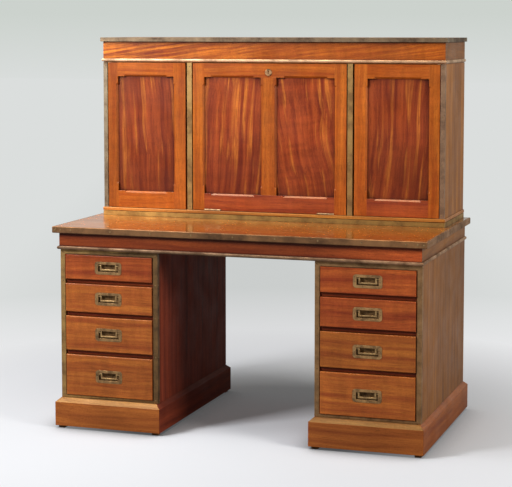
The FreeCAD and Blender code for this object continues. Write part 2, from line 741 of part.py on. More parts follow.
def make_desk_section():
    """Frieze boards, the bead along their lower edge, the top and its brass edging."""
    group("desk_frieze", four_sides(
        "desk_frieze", plain_section("frieze_thickness", "pedestal_top", "top_underside"),
        "frieze_thickness", "frieze_half", "frieze_front", "desk_back"))
    group("desk_frieze_bead", three_sides(
        "desk_bead", bead_section("desk_bead_depth", "pedestal_top", "desk_bead_height"),
        "desk_bead_depth", "frieze_half + desk_bead_depth", "frieze_front - desk_bead_depth",
        "desk_back"))
    top = board("desk_top", ("edging_thickness - top_half", "desk_front + edging_thickness",
                             "top_underside"),
                ("desk_width - 2 * edging_thickness", "desk_depth - edging_thickness",
                 "top_thickness"))
    finish(top, "desk_top", "edging_thickness - top_half", "desk_front + edging_thickness",
           "top_underside")
    make_top_edging()


def edging_strip(name, length):
    """A flat brass strip with its outer edges bevelled."""
    body = doc.addObject("PartDesign::Body", name)
    sketch = new_sketch(body, "YZ_Plane", name + "_section")
    rectangle(sketch, "0", "top_underside", "edging_thickness", "desk_height")
    block = pad(body, sketch, length, "Symmetric")
    bevel(body, block, "edging_arris", lambda edge: runs_along(edge, ACROSS)
          and near(edge.CenterOfMass.y, 0))
    return body


def edging_corner(name, side):
    """A brass corner piece that wraps a front corner of the top."""
    body = doc.addObject("PartDesign::Body", name)
    sketch = new_sketch(body, "XY_Plane", name + "_section")
    outline(sketch, [
        ("0", "0"),
        (f"{-side} * corner_leg", "0"),
        (f"{-side} * corner_leg", "edging_thickness"),
        (f"{-side} * edging_thickness", "edging_thickness"),
        (f"{-side} * edging_thickness", "corner_leg"),
        ("0", "corner_leg"),
    ])
    block = pad(body, sketch, "top_thickness")
    bevel(body, block, "edging_arris", lambda edge: not runs_along(edge, UP)
          and (near(edge.CenterOfMass.y, 0) or near(edge.CenterOfMass.x, 0)))
    return place(body, f"{side} * top_half", "desk_front", "top_underside")


def make_top_edging():
    """Brass round the front and sides of the top, with a separate piece at each corner."""
    along = "desk_depth - corner_leg"
    middle = "desk_front + (desk_depth + corner_leg) / 2"
    group("desk_top_edging", [
        place(edging_strip("edging_front", "desk_width - 2 * corner_leg"), "0", "desk_front"),
        place(edging_strip("edging_left", along), "-top_half", middle, turn=-90),
        place(edging_strip("edging_right", along), "top_half", middle, turn=90),
        edging_corner("edging_corner_left", -1),
        edging_corner("edging_corner_right", 1),
    ])


# ---- cabinet ----

def make_cabinet_base():
    """A low frame on the desk top, a brass strip round it and the cabinet floor over it."""
    group("cabinet_base", four_sides(
        "cabinet_base", plain_section("base_thickness", "desk_height", "cabinet_floor"),
        "base_thickness", "cabinet_half", "cabinet_front", "desk_back"))
    group("cabinet_base_brass", three_sides(
        "base_brass",
        plain_section("base_strip_depth", "desk_height", "desk_height + base_strip_height"),
        "base_strip_depth", "cabinet_half + base_strip_depth", "cabinet_front - base_strip_depth",
        "desk_back"))
    body = doc.addObject("PartDesign::Body", "cabinet_floor_board")
    sketch = new_sketch(body, "XY_Plane", "floor_outline")
    half = "(cabinet_half + floor_nosing)"
    rectangle(sketch, f"-{half}", "cabinet_front - floor_nosing", half, "desk_back")
    block = pad(body, sketch, "floor_thickness")
    front = sketch.evalExpression(formula("cabinet_front - floor_nosing"))
    side = sketch.evalExpression(formula(half))
    height = sketch.evalExpression(formula("floor_thickness"))
    soften(body, block, "nosing_round", lambda edge: near(edge.CenterOfMass.z, height)
           and (near(edge.CenterOfMass.y, front) or near(abs(edge.CenterOfMass.x), side)))
    place(body, "0", "0", "cabinet_floor")
    half = "(cabinet_half - strip_thickness)"
    ceiling = board("cabinet_top_board", (f"-{half}", "carcass_front", "door_ceiling"),
                    (f"2 * {half}", "carcass_depth", "board_thickness"))
    group("cabinet_floor_and_top", [body, ceiling])


def cabinet_side(name, side):
    """A cabinet side with its front corner cut away for the brass angle."""
    left = "-cabinet_half" if side < 0 else "cabinet_inner"
    blank = board(name + "_blank", (left, "carcass_front", "door_floor"),
                  ("wall_thickness", "carcass_depth", "door_opening"))
    notch_left = "-cabinet_half" if side < 0 else "cabinet_half - strip_thickness"
    notch = board(name + "_notch", (notch_left, "carcass_front", "door_floor"),
                  ("strip_thickness", "cabinet_strip - strip_thickness", "door_opening"))
    return cut(name, blank, notch)


def make_cabinet_walls():
    """Sides, partitions and back of the cabinet."""
    group("cabinet_sides", [cabinet_side("cabinet_left", -1), cabinet_side("cabinet_right", 1)])
    partitions = []
    for name, left in (("left", "-partition_outer"), ("right", "partition_inner")):
        partitions.append(board(f"partition_{name}", (left, "carcass_front", "door_floor"),
                                ("partition_thickness", "carcass_depth - back_thickness",
                                 "door_opening")))
    group("cabinet_partitions", partitions)
    low = ("-cabinet_inner", "cabinet_inside_back", "door_floor")
    back = board("cabinet_back", low, ("2 * cabinet_inner", "back_thickness", "door_opening"))
    finish(back, "cabinet_back", *low)


def make_cabinet_brass():
    """Upright brass: an angle on each front corner, and a flat strip on each partition."""
    pieces = [
        corner_strip("cabinet_angle_left", "cabinet_strip", "door_floor", "door_opening", -1,
                     "cabinet_front", "-cabinet_half"),
        corner_strip("cabinet_angle_right", "cabinet_strip", "door_floor", "door_opening", 1,
                     "cabinet_front", "cabinet_half"),
    ]
    for name, left in (("left", "-partition_outer"), ("right", "partition_inner")):
        pieces.append(board(f"partition_strip_{name}", (left, "cabinet_front", "door_floor"),
                            ("partition_thickness", "strip_thickness", "door_opening")))
    group("cabinet_brass_strips", pieces)


def make_shelves():
    """A shelf in each cupboard, and a shelf with upright dividers behind the fall."""
    pieces = []
    for name, left in (("left", "-cabinet_inner"), ("right", "partition_outer")):
        pieces.append(board(f"cupboard_shelf_{name}", (left, "shelf_front", "door_middle"),
                            ("cupboard_width", "shelf_depth", "board_thickness")))
    low = "(door_ceiling - pigeonhole_height)"
    pieces.append(board("middle_shelf", ("-partition_inner", "shelf_front", f"{low} - board_thickness"),
                        ("fall_opening", "shelf_depth", "board_thickness")))
    for number in range(1, PIGEONHOLES):
        x = f"(fall_opening * {number} / {PIGEONHOLES}) - partition_inner - divider_thickness / 2"
        pieces.append(board(f"divider_{number}", (x, "shelf_front", low),
                            ("divider_thickness", "shelf_depth", "pigeonhole_height")))
    group("cabinet_shelves", pieces)


def make_cabinet_head():
    """Frieze, bead and cornice of the cabinet."""
    group("cabinet_frieze", four_sides(
        "cabinet_frieze", plain_section("frieze_thickness", "cabinet_top", "cornice_underside"),
        "frieze_thickness", "cabinet_half", "cabinet_front", "desk_back"))
    group("cabinet_frieze_bead", three_sides(
        "cabinet_bead",
        bead_section("cabinet_bead_depth + strip_thickness", "cabinet_top - cabinet_bead_height",
                     "cabinet_bead_height"),
        "cabinet_bead_depth", "cabinet_half + cabinet_bead_depth",
        "cabinet_front - cabinet_bead_depth", "desk_back"))
    front = "(cabinet_front - cornice_overhang)"
    half = "(cabinet_half + cornice_overhang)"
    low = (f"cornice_edging - {half}", f"{front} + cornice_edging", "cornice_underside")
    middle = board("cornice_board", low,
                   (f"2 * ({half} - cornice_edging)", f"desk_back - {front} - cornice_edging",
                    "cornice_thickness"))
    finish(middle, "cornice_board", *low)
    edging = three_sides(
        "cornice_edge",
        plain_section("cornice_edging", "cornice_underside", "cornice_underside + cornice_thickness"),
        "cornice_edging", half, front, "desk_back")
    group("cornice_edging", edging)


# ---- framed doors and fall ----

def frame_member(name, length, width, thickness, runs, both=False):
    """A stile or rail along X: grooved for the panel, with stopped chamfers beside it.

    The inner edge faces +Z at Z = 0 and the front face is Y = 0. Each run is the middle and
    the length of one chamfer. A member between two panels has both edges worked."""
    body = doc.addObject("PartDesign::Body", name)
    sketch = new_sketch(body, "YZ_Plane", name + "_section")
    rear = "(groove_front + groove_width)"
    corners = [("0", f"-({width})")]
    if both:
        corners += [("groove_front", f"-({width})"), ("groove_front", f"groove_bed - ({width})"),
                    (rear, f"groove_bed - ({width})"), (rear, f"-({width})")]
    corners += [(thickness, f"-({width})"), (thickness, "0"), (rear, "0"), (rear, "-groove_bed"),
                ("groove_front", "-groove_bed"), ("groove_front", "0"), ("0", "0")]
    outline(sketch, corners)
    pad(body, sketch, length, "Symmetric")
    for number, (middle, run) in enumerate(runs, 1):
        stopped_chamfer(body, f"{name}_chamfer_{number}", middle, run, "0", 1)
        if both:
            stopped_chamfer(body, f"{name}_far_chamfer_{number}", middle, run, f"-({width})", -1)
    return body


def stopped_chamfer(body, name, middle, run, edge, side):
    """Take a 45 degree chamfer off a front edge, sloping out to the edge at both ends."""
    wedge = body.newObject("PartDesign::SubtractiveWedge", name)
    half = f"({run}) / 2"
    bounds = {
        "Ymin": "0", "Ymax": "chamfer",
        "Xmin": f"({middle}) - {half}", "Xmax": f"({middle}) + {half}",
        "X2min": f"({middle}) - {half} + chamfer", "X2max": f"({middle}) + {half} - chamfer",
        "Zmin": f"({edge}) - chamfer", "Zmax": f"({edge}) + chamfer",
        "Z2min": edge if side > 0 else f"({edge}) - chamfer",
        "Z2max": f"({edge}) + chamfer" if side > 0 else edge,
    }
    return bind(wedge, **bounds)


def hang(body, length, width):
    """Round a stile's outer front edge and bore its ends for the pivot pins."""
    outer = body.Tip.evalExpression(formula(f"-({width})"))
    soften(body, body.Tip, "hanging_round", lambda edge: runs_along(edge, ACROSS)
           and near(edge.CenterOfMass.y, 0) and near(edge.CenterOfMass.z, outer))
    for end in (-1, 1):
        bore = body.newObject("PartDesign::SubtractiveCylinder", f"{body.Name}_bore_{end + 2}")
        place(bore, f"{end} * ({length}) / 2", "pivot_inset", f"pivot_inset - ({width})",
              BACKWARDS, -90 * end)
        bind(bore, Radius="pivot_radius + pin_clearance", Height="pivot_length")


def make_door(name, side):
    """A door: two stiles, two rails and a flat panel. side is -1 for the left door."""
    free_gap = f"{name}_door_gap"
    inner = f"(cupboard_width - hanging_gap - {free_gap} - hanging_stile - stile_width)"
    middle = f"{side} * (cabinet_inner - hanging_gap - hanging_stile - {inner} / 2)"
    run = "panel_height - 2 * chamfer_stop"
    stiles = []
    for word, way in (("left", -1), ("right", 1)):
        width = "hanging_stile" if way == side else "stile_width"
        stile = frame_member(f"{name}_door_{word}_stile", "door_height", width, "door_thickness",
                             [(f"{way} * panel_rise", run)])
        if way == side:
            hang(stile, "door_height", width)
        stiles.append(place(stile, f"{way} * {inner} / 2", "0", "-panel_rise", BACKWARDS, -90 * way))
    rails = []
    for word, way, turn in (("top", 1, 180), ("bottom", -1, 0)):
        rail = frame_member(f"{name}_door_{word}_rail", inner, word + "_rail", "door_thickness",
                            [("0", f"{inner} - 2 * chamfer_stop")])
        rails.append(place(rail, "0", "0", f"{way} * panel_height / 2", BACKWARDS, turn))
    group(f"{name}_door_frame", stiles + rails, middle, "cabinet_front", "panel_middle")
    panel_half = f"({inner} / 2 + panel_tongue)"
    low = (f"{middle} - {panel_half}", "cabinet_front + panel_setback",
           "panel_middle - panel_height / 2 - panel_tongue")
    panel = board(f"{name}_door_panel", low,
                  (f"2 * {panel_half}", "panel_thickness", "panel_height + 2 * panel_tongue"))
    finish(panel, f"{name}_door_panel", *low)


def make_door_pivots():
    """A pin on a small plate below and above the hanging edge of each door."""
    pieces = []
    for name, side in (("left", -1), ("right", 1)):
        x = f"{side} * (cabinet_inner - hanging_gap - pivot_inset)"
        y = "cabinet_front + pivot_inset"
        for level, base, up in (("lower", "door_floor", 1), ("upper", "door_ceiling", -1)):
            label = f"{name}_{level}_pivot"
            plate_low = base if up > 0 else f"{base} - pivot_plate"
            inward = f"{x} - pivot_plate_width / 2"
            plate = board(label + "_plate", (inward, "cabinet_front + fit_gap", plate_low),
                          ("pivot_plate_width", "pivot_plate_length", "pivot_plate"))
            pin_turn = 0 if up > 0 else 180
            pin = cylinder(label + "_pin", (x, y, base), "pivot_radius",
                           "pivot_plate + pivot_length - pivot_end_gap", ACROSS, pin_turn)
            whole = doc.addObject("Part::Fuse", label)
            whole.Base = plate
            whole.Tool = pin
            pieces.append(whole)
    group("door_pivots", pieces)


def fall_rail(name, height):
    """A rail of the fall with a chamfer beside each panel."""
    run = "fall_panel - 2 * chamfer_stop"
    return frame_member(name, "fall_width - 2 * fall_stile", height, "fall_thickness",
                        [("-fall_panel_middle", run), ("fall_panel_middle", run)])


def house_lock(rail):
    """Sink the back of the top rail for the lock's case."""
    box = rail.newObject("PartDesign::SubtractiveBox", rail.Name + "_lock_housing")
    place(box, "-lock_case_width / 2 - fit_gap", "fall_thickness - lock_case_depth",
          "lock_height - lock_case_rise - lock_case_height / 2 - fit_gap - top_rail")
    bind(box, Length="lock_case_width + 2 * fit_gap", Width="lock_case_depth",
         Height="lock_case_height + 2 * fit_gap")


def house_hinges(rail):
    """Cut the lower edge of the bottom rail for the hinges' knuckles and leaves."""
    for end in (-1, 1):
        left = f"{end} * hinge_offset - hinge_length / 2 - fit_gap"
        notch = rail.newObject("PartDesign::SubtractiveBox", f"{rail.Name}_knuckle_notch_{end + 2}")
        place(notch, left, "-knuckle_proud", "-bottom_rail")
        bind(notch, Length="hinge_length + 2 * fit_gap", Width="knuckle_radius + notch_room",
             Height="knuckle_rise - door_gap + knuckle_radius + notch_room")
        housing = rail.newObject("PartDesign::SubtractiveBox", f"{rail.Name}_leaf_housing_{end + 2}")
        place(housing, left, "0", "-bottom_rail")
        bind(housing, Length="hinge_length + 2 * fit_gap", Width="leaf_depth + fit_gap",
             Height="leaf_thickness")


def make_fall():
    """The fall: outer stiles, rails, a middle stile and two flat panels."""
    run = "panel_height - 2 * chamfer_stop"
    inner = "(fall_width - 2 * fall_stile)"
    pieces = []
    for word, way in (("left", -1), ("right", 1)):
        stile = frame_member(f"fall_{word}_stile", "door_height", "fall_stile", "fall_thickness",
                             [(f"{way} * panel_rise", run)])
        pieces.append(place(stile, f"{way} * {inner} / 2", "0", "-panel_rise", BACKWARDS, -90 * way))
    top = fall_rail("fall_top_rail", "top_rail")
    house_lock(top)
    pieces.append(place(top, "0", "0", "panel_height / 2", BACKWARDS, 180))
    bottom = fall_rail("fall_bottom_rail", "bottom_rail")
    house_hinges(bottom)
    pieces.append(place(bottom, "0", "0", "-panel_height / 2"))
    middle = frame_member("fall_middle_stile", "panel_height", "fall_middle", "fall_thickness",
                          [("0", run)], both=True)
    pieces.append(place(middle, "-fall_middle / 2", "0", "0", BACKWARDS, -90))
    group("fall_frame", pieces, "0", "cabinet_front", "panel_middle")
    panels = []
    for word, side in (("left", -1), ("right", 1)):
        half = "(fall_panel / 2 + panel_tongue)"
        low = (f"{side} * fall_panel_middle - {half}", "cabinet_front + panel_setback",
               "panel_middle - panel_height / 2 - panel_tongue")
        panels.append(board(f"fall_panel_{word}", low,
                            (f"2 * {half}", "panel_thickness", "panel_height + 2 * panel_tongue")))
    group("fall_panels", panels)


def make_fall_lock():
    """A round keyhole plate on the top rail, and the lock's case let into its back."""
    rose = doc.addObject("PartDesign::Body", "keyhole_rose")
    disc = new_sketch(rose, "XZ_Plane", "rose_disc")
    circle(disc, ("0", "0"), "lock_rose")
    block = pad(rose, disc, "rose_thickness")
    thickness = disc.evalExpression(formula("rose_thickness"))
    bevel(rose, block, "rose_dome", lambda edge: near(edge.CenterOfMass.y, -thickness)
          and not runs_along(edge, BACKWARDS))
    hole = new_sketch(rose, "XZ_Plane", "rose_keyhole")
    circle(hole, ("0", "key_radius"), "key_radius")
    pocket(rose, hole, "rose_thickness", reverse=True)
    slot = new_sketch(rose, "XZ_Plane", "rose_key_slot")
    rectangle(slot, "-key_slot_width / 2", "-key_slot", "key_slot_width / 2", "key_radius")
    pocket(rose, slot, "rose_thickness", reverse=True)
    place(rose, "0", "cabinet_front", "lock_middle")
    case = board("lock_case", ("-lock_case_width / 2",
                               "cabinet_front + fall_thickness - lock_case_depth",
                               "lock_middle + lock_case_rise - lock_case_height / 2"),
                 ("lock_case_width", "lock_case_depth", "lock_case_height"))
    group("fall_lock", [rose, case])


def hinge_half(name, end, moving):
    """Half of a butt hinge. The fixed half carries the pin and the two outer knuckles."""
    body = doc.addObject("PartDesign::Body", name)
    half = "hinge_length / 2"
    middle_half = "knuckle_length / 2"
    leaf = new_sketch(body, "XY_Plane", name + "_leaf")
    clear = "knuckle_radius + notch_room"
    reach = "leaf_depth + knuckle_proud"
    if moving:
        outline(leaf, [(f"-{half}", clear), (f"-({middle_half})", clear), (f"-({middle_half})", "0"),
                       (middle_half, "0"), (middle_half, clear), (half, clear),
                       (half, reach), (f"-{half}", reach)])
    else:
        step = f"({middle_half} + knuckle_gap)"
        outline(leaf, [(f"-{half}", "0"), (f"-{step}", "0"), (f"-{step}", clear), (step, clear),
                       (step, "0"), (half, "0"), (half, reach), (f"-{half}", reach)])
    plate = pad(body, leaf, "leaf_thickness")
    low = "-knuckle_rise + door_gap" if moving else "-knuckle_rise"
    leaf.AttachmentOffset = FreeCAD.Placement()
    leaf.setExpression("AttachmentOffset.Base.z", formula(low))
    if moving:
        barrel(body, f"-{middle_half}", "knuckle_length", "knuckle_radius")
        bore = body.newObject("PartDesign::SubtractiveCylinder", name + "_bore")
        place(bore, f"-{half}", axis=BACKWARDS, turn=90)
        bind(bore, Radius="hinge_pin + pin_clearance", Height="hinge_length")
    else:
        outer = f"({half} - {middle_half} - knuckle_gap)"
        barrel(body, f"-{half}", outer, "knuckle_radius")
        barrel(body, f"{middle_half} + knuckle_gap", outer, "knuckle_radius")
        barrel(body, f"pin_inset - {half}", "hinge_length - 2 * pin_inset", "hinge_pin")
    return place(body, f"{end} * hinge_offset", "pin_front", "pin_height")


def barrel(body, start, length, radius):
    """Add a round length of hinge knuckle or pin along X."""
    number = len(body.Group)
    knuckle = body.newObject("PartDesign::AdditiveCylinder", f"{body.Name}_barrel_{number}")
    place(knuckle, start, axis=BACKWARDS, turn=90)
    return bind(knuckle, Radius=radius, Height=length)


def make_fall_hinges():
    """Two butt hinges at the lower edge of the fall."""
    for label, moving in (("fall_hinge_fixed", False), ("fall_hinge_moving", True)):
        group(label, [hinge_half(f"{label}_{end + 2}", end, moving) for end in (-1, 1)])


# ---- the whole desk ----

def check_document():
    """Stop if any object failed, or if a pocket cut nothing."""
    for item in doc.Objects:
        if "Invalid" in item.State or "Error" in item.State:
            raise RuntimeError(f"{item.Label} failed: {item.State}")
        if item.TypeId == "PartDesign::Pocket":
            before = item.BaseFeature.Shape.Volume
            if before - item.Shape.Volume < LEAST_CUT:
                raise RuntimeError(f"{item.Label} cuts nothing")
    for item in finished:
        if item.Shape.isNull() or not item.Shape.isValid():
            raise RuntimeError(f"{item.Label} has no valid shape")


def main():
    fill_sheet()
    for name, side in (("left", -1), ("right", 1)):
        make_plinth(name, side)
        make_case(name, side)
        make_rails(name, side)
        make_pedestal_brass(name, side)
        for level in (1, 2, 3, 4):
            make_drawer(name, side, level)
            make_handle_plate(name, side, level)
            make_bail(name, side, level)
        make_door(name, side)
    make_feet()
    make_desk_section()
    make_cabinet_base()
    make_cabinet_walls()
    make_cabinet_brass()
    make_shelves()
    make_cabinet_head()
    make_door_pivots()
    make_fall()
    make_fall_lock()
    make_fall_hinges()
    doc.recompute()
    check_document()
    os.makedirs("parts", exist_ok=True)
    for item in finished:
        item.Shape.exportStep(f"parts/{item.Label}.step")
    print(len(finished), "sub-parts written")


main()
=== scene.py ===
# %% [markdown]
# # A brass-bound campaign desk
# The desk stands in three lifts: two pedestals of drawers, a writing top, and a cabinet with two
# doors and a fall. Every board, strip and drawer is already a solid in the frame, so this
# script is mostly about finish: old polished mahogany, dull brass and bare drawer linings.
# It also models the screws, which are too fine for the frame.

# %% Load the frame
import math
import bmesh
import bpy
from mathutils import Matrix, Vector


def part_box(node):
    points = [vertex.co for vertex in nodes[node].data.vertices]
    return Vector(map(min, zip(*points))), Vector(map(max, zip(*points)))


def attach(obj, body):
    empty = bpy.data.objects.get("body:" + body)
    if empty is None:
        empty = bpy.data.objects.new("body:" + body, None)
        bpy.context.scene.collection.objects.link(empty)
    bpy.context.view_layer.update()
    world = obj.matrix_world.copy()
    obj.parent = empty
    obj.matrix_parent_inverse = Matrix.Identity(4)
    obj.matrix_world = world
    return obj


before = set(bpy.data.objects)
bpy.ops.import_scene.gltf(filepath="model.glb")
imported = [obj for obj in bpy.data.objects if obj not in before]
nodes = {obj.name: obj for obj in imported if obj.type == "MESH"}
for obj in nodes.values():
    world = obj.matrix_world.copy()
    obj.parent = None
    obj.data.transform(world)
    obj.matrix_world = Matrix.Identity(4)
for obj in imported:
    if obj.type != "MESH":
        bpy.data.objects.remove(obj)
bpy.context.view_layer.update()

bpy.ops.object.select_all(action="DESELECT")

# %% [markdown]
# ## The camera
# The desk is seen from the front and a little from its right, with the eye at about the height of
# the cabinet. A long lens keeps the uprights nearly parallel. Tilting the camera far down would
# make them lean, so it tilts only a little and the lens is shifted for the rest of the framing.

# %% Place the camera
EYE = (1.9272, -5.8926, 1.5097)
TILT_DOWN, TURN_LEFT = 5.02, 18.49
camera_data = bpy.data.cameras.new("camera")
camera = bpy.data.objects.new("camera", camera_data)
bpy.context.scene.collection.objects.link(camera)
camera.location = EYE
camera.rotation_euler = (math.radians(90 - TILT_DOWN), 0, math.radians(TURN_LEFT))
camera_data.sensor_width = 36
camera_data.lens = 113.5
camera_data.shift_y = -0.14
bpy.context.scene.camera = camera
print("camera lens", camera_data.lens, "mm, shift", camera_data.shift_y)

# %% [markdown]
# ## Helpers for materials
# A finish is a small graph of shader nodes. Wiring one by hand takes many lines, so these helpers
# add a node, set its plain inputs and link the others in one call. Colours are written as the
# familiar 0 to 255 values and turned into the linear values that the shaders work in.

# %% Colour and node helpers
def colour(red, green, blue):
    """A linear colour from 0 to 255 screen values."""
    def linear(value):
        value = value / 255
        return value / 12.92 if value <= 0.04045 else ((value + 0.055) / 1.055) ** 2.4
    return (linear(red), linear(green), linear(blue), 1.0)


def add(tree, kind, inputs=(), **settings):
    """Add one shader node. inputs pairs a socket's name or number with a value or another socket."""
    made = tree.nodes.new("ShaderNode" + kind)
    for key, value in settings.items():
        setattr(made, key, value)
    for socket, value in dict(inputs).items():
        if isinstance(value, bpy.types.NodeSocket):
            tree.links.new(value, made.inputs[socket])
        else:
            made.inputs[socket].default_value = value
    return made


def calculate(tree, operation, first, second=0.0, third=0.0):
    """One sum on two or three numbers."""
    return add(tree, "Math", {0: first, 1: second, 2: third}, operation=operation).outputs[0]


def ramp(tree, value, stops):
    """Turn a number into a grey level through stops of (place, level)."""
    made = add(tree, "ValToRGB", {"Fac": value})
    elements = made.color_ramp.elements
    while len(elements) < len(stops):
        elements.new(0.5)
    for element, (place, level) in zip(elements, stops):
        element.position = place
        element.color = (level, level, level, 1)
    return made.outputs["Color"]


def blend(tree, factor, first, second, how="MIX"):
    """Mix two colours."""
    made = add(tree, "Mix", {0: factor, 6: first, 7: second}, data_type="RGBA", blend_type=how)
    return made.outputs[2]


def noise(tree, vector, scale, detail=2.0, rough=0.5):
    """Noise between 0 and 1."""
    inputs = {"Vector": vector, "Scale": scale, "Detail": detail, "Roughness": rough}
    return add(tree, "TexNoise", inputs).outputs["Fac"]


def new_material(name):
    """A new material, its node tree and its surface shader."""
    material = bpy.data.materials.new(name)
    material.use_nodes = True
    tree = material.node_tree
    return material, tree, tree.nodes["Principled BSDF"]


def dot(tree, first, second):
    """How far one vector reaches along another."""
    return add(tree, "VectorMath", {0: first, 1: second}, operation="DOT_PRODUCT").outputs["Value"]


def between(tree, value, start, end, first=0.0, last=1.0):
    """Turn a number that runs from start to end into one that runs from first to last."""
    return add(tree, "MapRange", {"Value": value, "From Min": start, "From Max": end,
                                  "To Min": first, "To Max": last}).outputs[0]


def eased(tree, coordinates, axis, start, end, first, last=1.0):
    """A number that runs from first to last between two places on one axis."""
    place = add(tree, "SeparateXYZ", {0: coordinates}).outputs[axis]
    return between(tree, place, start, end, first, last)


def edge_mask(tree, radius):
    """A rounded normal, and white on corners where the two differ: wear and painted highlight."""
    soft = add(tree, "Bevel", {"Radius": radius}, samples=4).outputs[0]
    true = add(tree, "NewGeometry").outputs["Normal"]
    return soft, ramp(tree, dot(tree, soft, true), [(0.80, 1.0), (0.985, 0.0)])


def nook_mask(tree, reach, stops, amount):
    """White in corners, up to reach from them, where dirt and painted shade darken. stops turn openness
    into darkness.
    """
    nook = add(tree, "AmbientOcclusion", {"Distance": reach}, samples=4).outputs["AO"]
    return calculate(tree, "MULTIPLY", ramp(tree, nook, stops), amount)


print("material helpers ready")

# %% [markdown]
# ## Mahogany
# Old mahogany has broad soft streaks that run with the grain, fine growth lines inside them,
# and short dark pores. All three are the same noise, stretched by different amounts along
# the board, so one recipe serves every board: it is told which way the grain runs, how strong
# the figure is, and where in the log the board was cut. A slow drift bends the streaks. Corners
# come out a little paler, as wear and as a painted highlight, and corners where boards meet are
# darkened, as old wax and as painted shade. Scales are in waves to the metre, and a share says
# how much of an effect shows.

# %% The mahogany recipe
EVEN = [(0.34, 0.0), (0.50, 0.48), (0.66, 1.0)]
BOLD = [(0.37, 0.0), (0.50, 0.50), (0.62, 1.0)]
ALONG = {"X": (0.03, 1, 1), "Y": (1, 0.03, 1), "Z": (1, 1, 0.03)}
ACROSS = {"X": (1, 0.22, 0.22), "Y": (0.22, 1, 0.22), "Z": (0.22, 0.22, 1)}
ACROSS_TURN = (0.3, 0.35, 0.3)
SCALES = dict(wander=3.1, patches=4.5, specks=190.0, bands=34.0, pores=620.0, sheen=11.0, ripple=9.0)
SHARES = dict(gold=0.88, growth=0.55, patches=0.8, pores=0.42, wax_and_shade=0.85, bold=0.30, grain_lines=0.35)
CUT_STEP, FIRST_CUT = (0.37, 0.71, 0.53), (0.11, 0.05, -0.2)
CENTRE = (0.5, 0.5, 0.5)
GRAIN_DEPTH, RIPPLE_DEPTH, RIPPLE_STRENGTH = 0.00025, 0.0022, 0.35
COAT_ROUGHNESS = 0.14
WORN_RADIUS = 0.0022
MIDDLE_GREY = colour(140, 140, 140)
# How dark pores, dirt, wax and painted shade are beside a tone.
DIRT_AND_SHADE = (0.22, 0.20, 0.25)
RUBBED_AND_LIT = 1.35
CUTS = {}


def tinted(tone, shade):
    """A colour made lighter or darker by a factor."""
    return tuple(shade * part for part in tone[:3]) + (1,)


def lighter_of(tone):
    """The paler colour of corners: wear, and a painted highlight."""
    return tuple(min(1, RUBBED_AND_LIT * part) for part in tone[:3]) + (1,)


def dark_of(tone):
    """The colour of open pores, dirt, old wax and painted shade on a surface of that tone."""
    return tuple(share * part for share, part in zip(DIRT_AND_SHADE, tone)) + (1,)


def board_coordinates(tree, cut, slant, drift):
    """Places on a board: as they are, moved to its cut of the log, and those bent by a drift."""
    coordinates = add(tree, "TexCoord").outputs["Object"]
    shift = tuple(step * cut + first for step, first in zip(CUT_STEP, FIRST_CUT))
    place = add(tree, "Mapping", {"Vector": coordinates, "Location": shift,
                                  "Rotation": slant}).outputs[0]
    wander = add(tree, "TexNoise", {"Vector": place, "Scale": SCALES["wander"],
                                    "Detail": 1.2}).outputs["Color"]
    centred = add(tree, "VectorMath", {0: wander, 1: CENTRE}, operation="SUBTRACT").outputs[0]
    bend = add(tree, "VectorMath", {0: centred, "Scale": drift}, operation="SCALE").outputs[0]
    bent = add(tree, "VectorMath", {0: place, 1: bend}, operation="ADD").outputs[0]
    return coordinates, place, bent


def gilded(tree, along, streak, body, gold):
    """Lay narrow golden streaks over a colour, each broken up into threads."""
    narrow = ramp(tree, noise(tree, along, streak * 0.95, 2.0, 0.55), [(0.56, 0.0), (0.67, 1.0)])
    threads = ramp(tree, noise(tree, along, streak * 4.5, 2.0, 0.6), [(0.36, 0.30), (0.58, 1.0)])
    amount = calculate(tree, "MULTIPLY", calculate(tree, "MULTIPLY", narrow, threads), SHARES["gold"])
    return blend(tree, amount, body, gold)


def polish(tree, shader, place, height, softened, shine, gloss, coat, relief):
    """Set how a wood shines. height is its grain, and a slow ripple shows that it was planed."""
    sheen = ramp(tree, noise(tree, place, SCALES["sheen"], 3.0),
                 [(0.3, shine - 0.05), (0.7, shine + 0.09)])
    tree.links.new(sheen, shader.inputs["Roughness"])
    shader.inputs["Specular IOR Level"].default_value = gloss
    shader.inputs["Coat Weight"].default_value = coat
    shader.inputs["Coat Roughness"].default_value = COAT_ROUGHNESS
    grain_bump = add(tree, "Bump", {"Height": height, "Distance": GRAIN_DEPTH, "Strength": relief,
                                    "Normal": softened}).outputs[0]
    ripple = add(tree, "Bump", {"Height": noise(tree, place, SCALES["ripple"], 1.0),
                                "Distance": RIPPLE_DEPTH, "Strength": RIPPLE_STRENGTH,
                                "Normal": grain_bump}).outputs[0]
    tree.links.new(ripple, shader.inputs["Normal"])
    tree.links.new(ripple, shader.inputs["Coat Normal"])


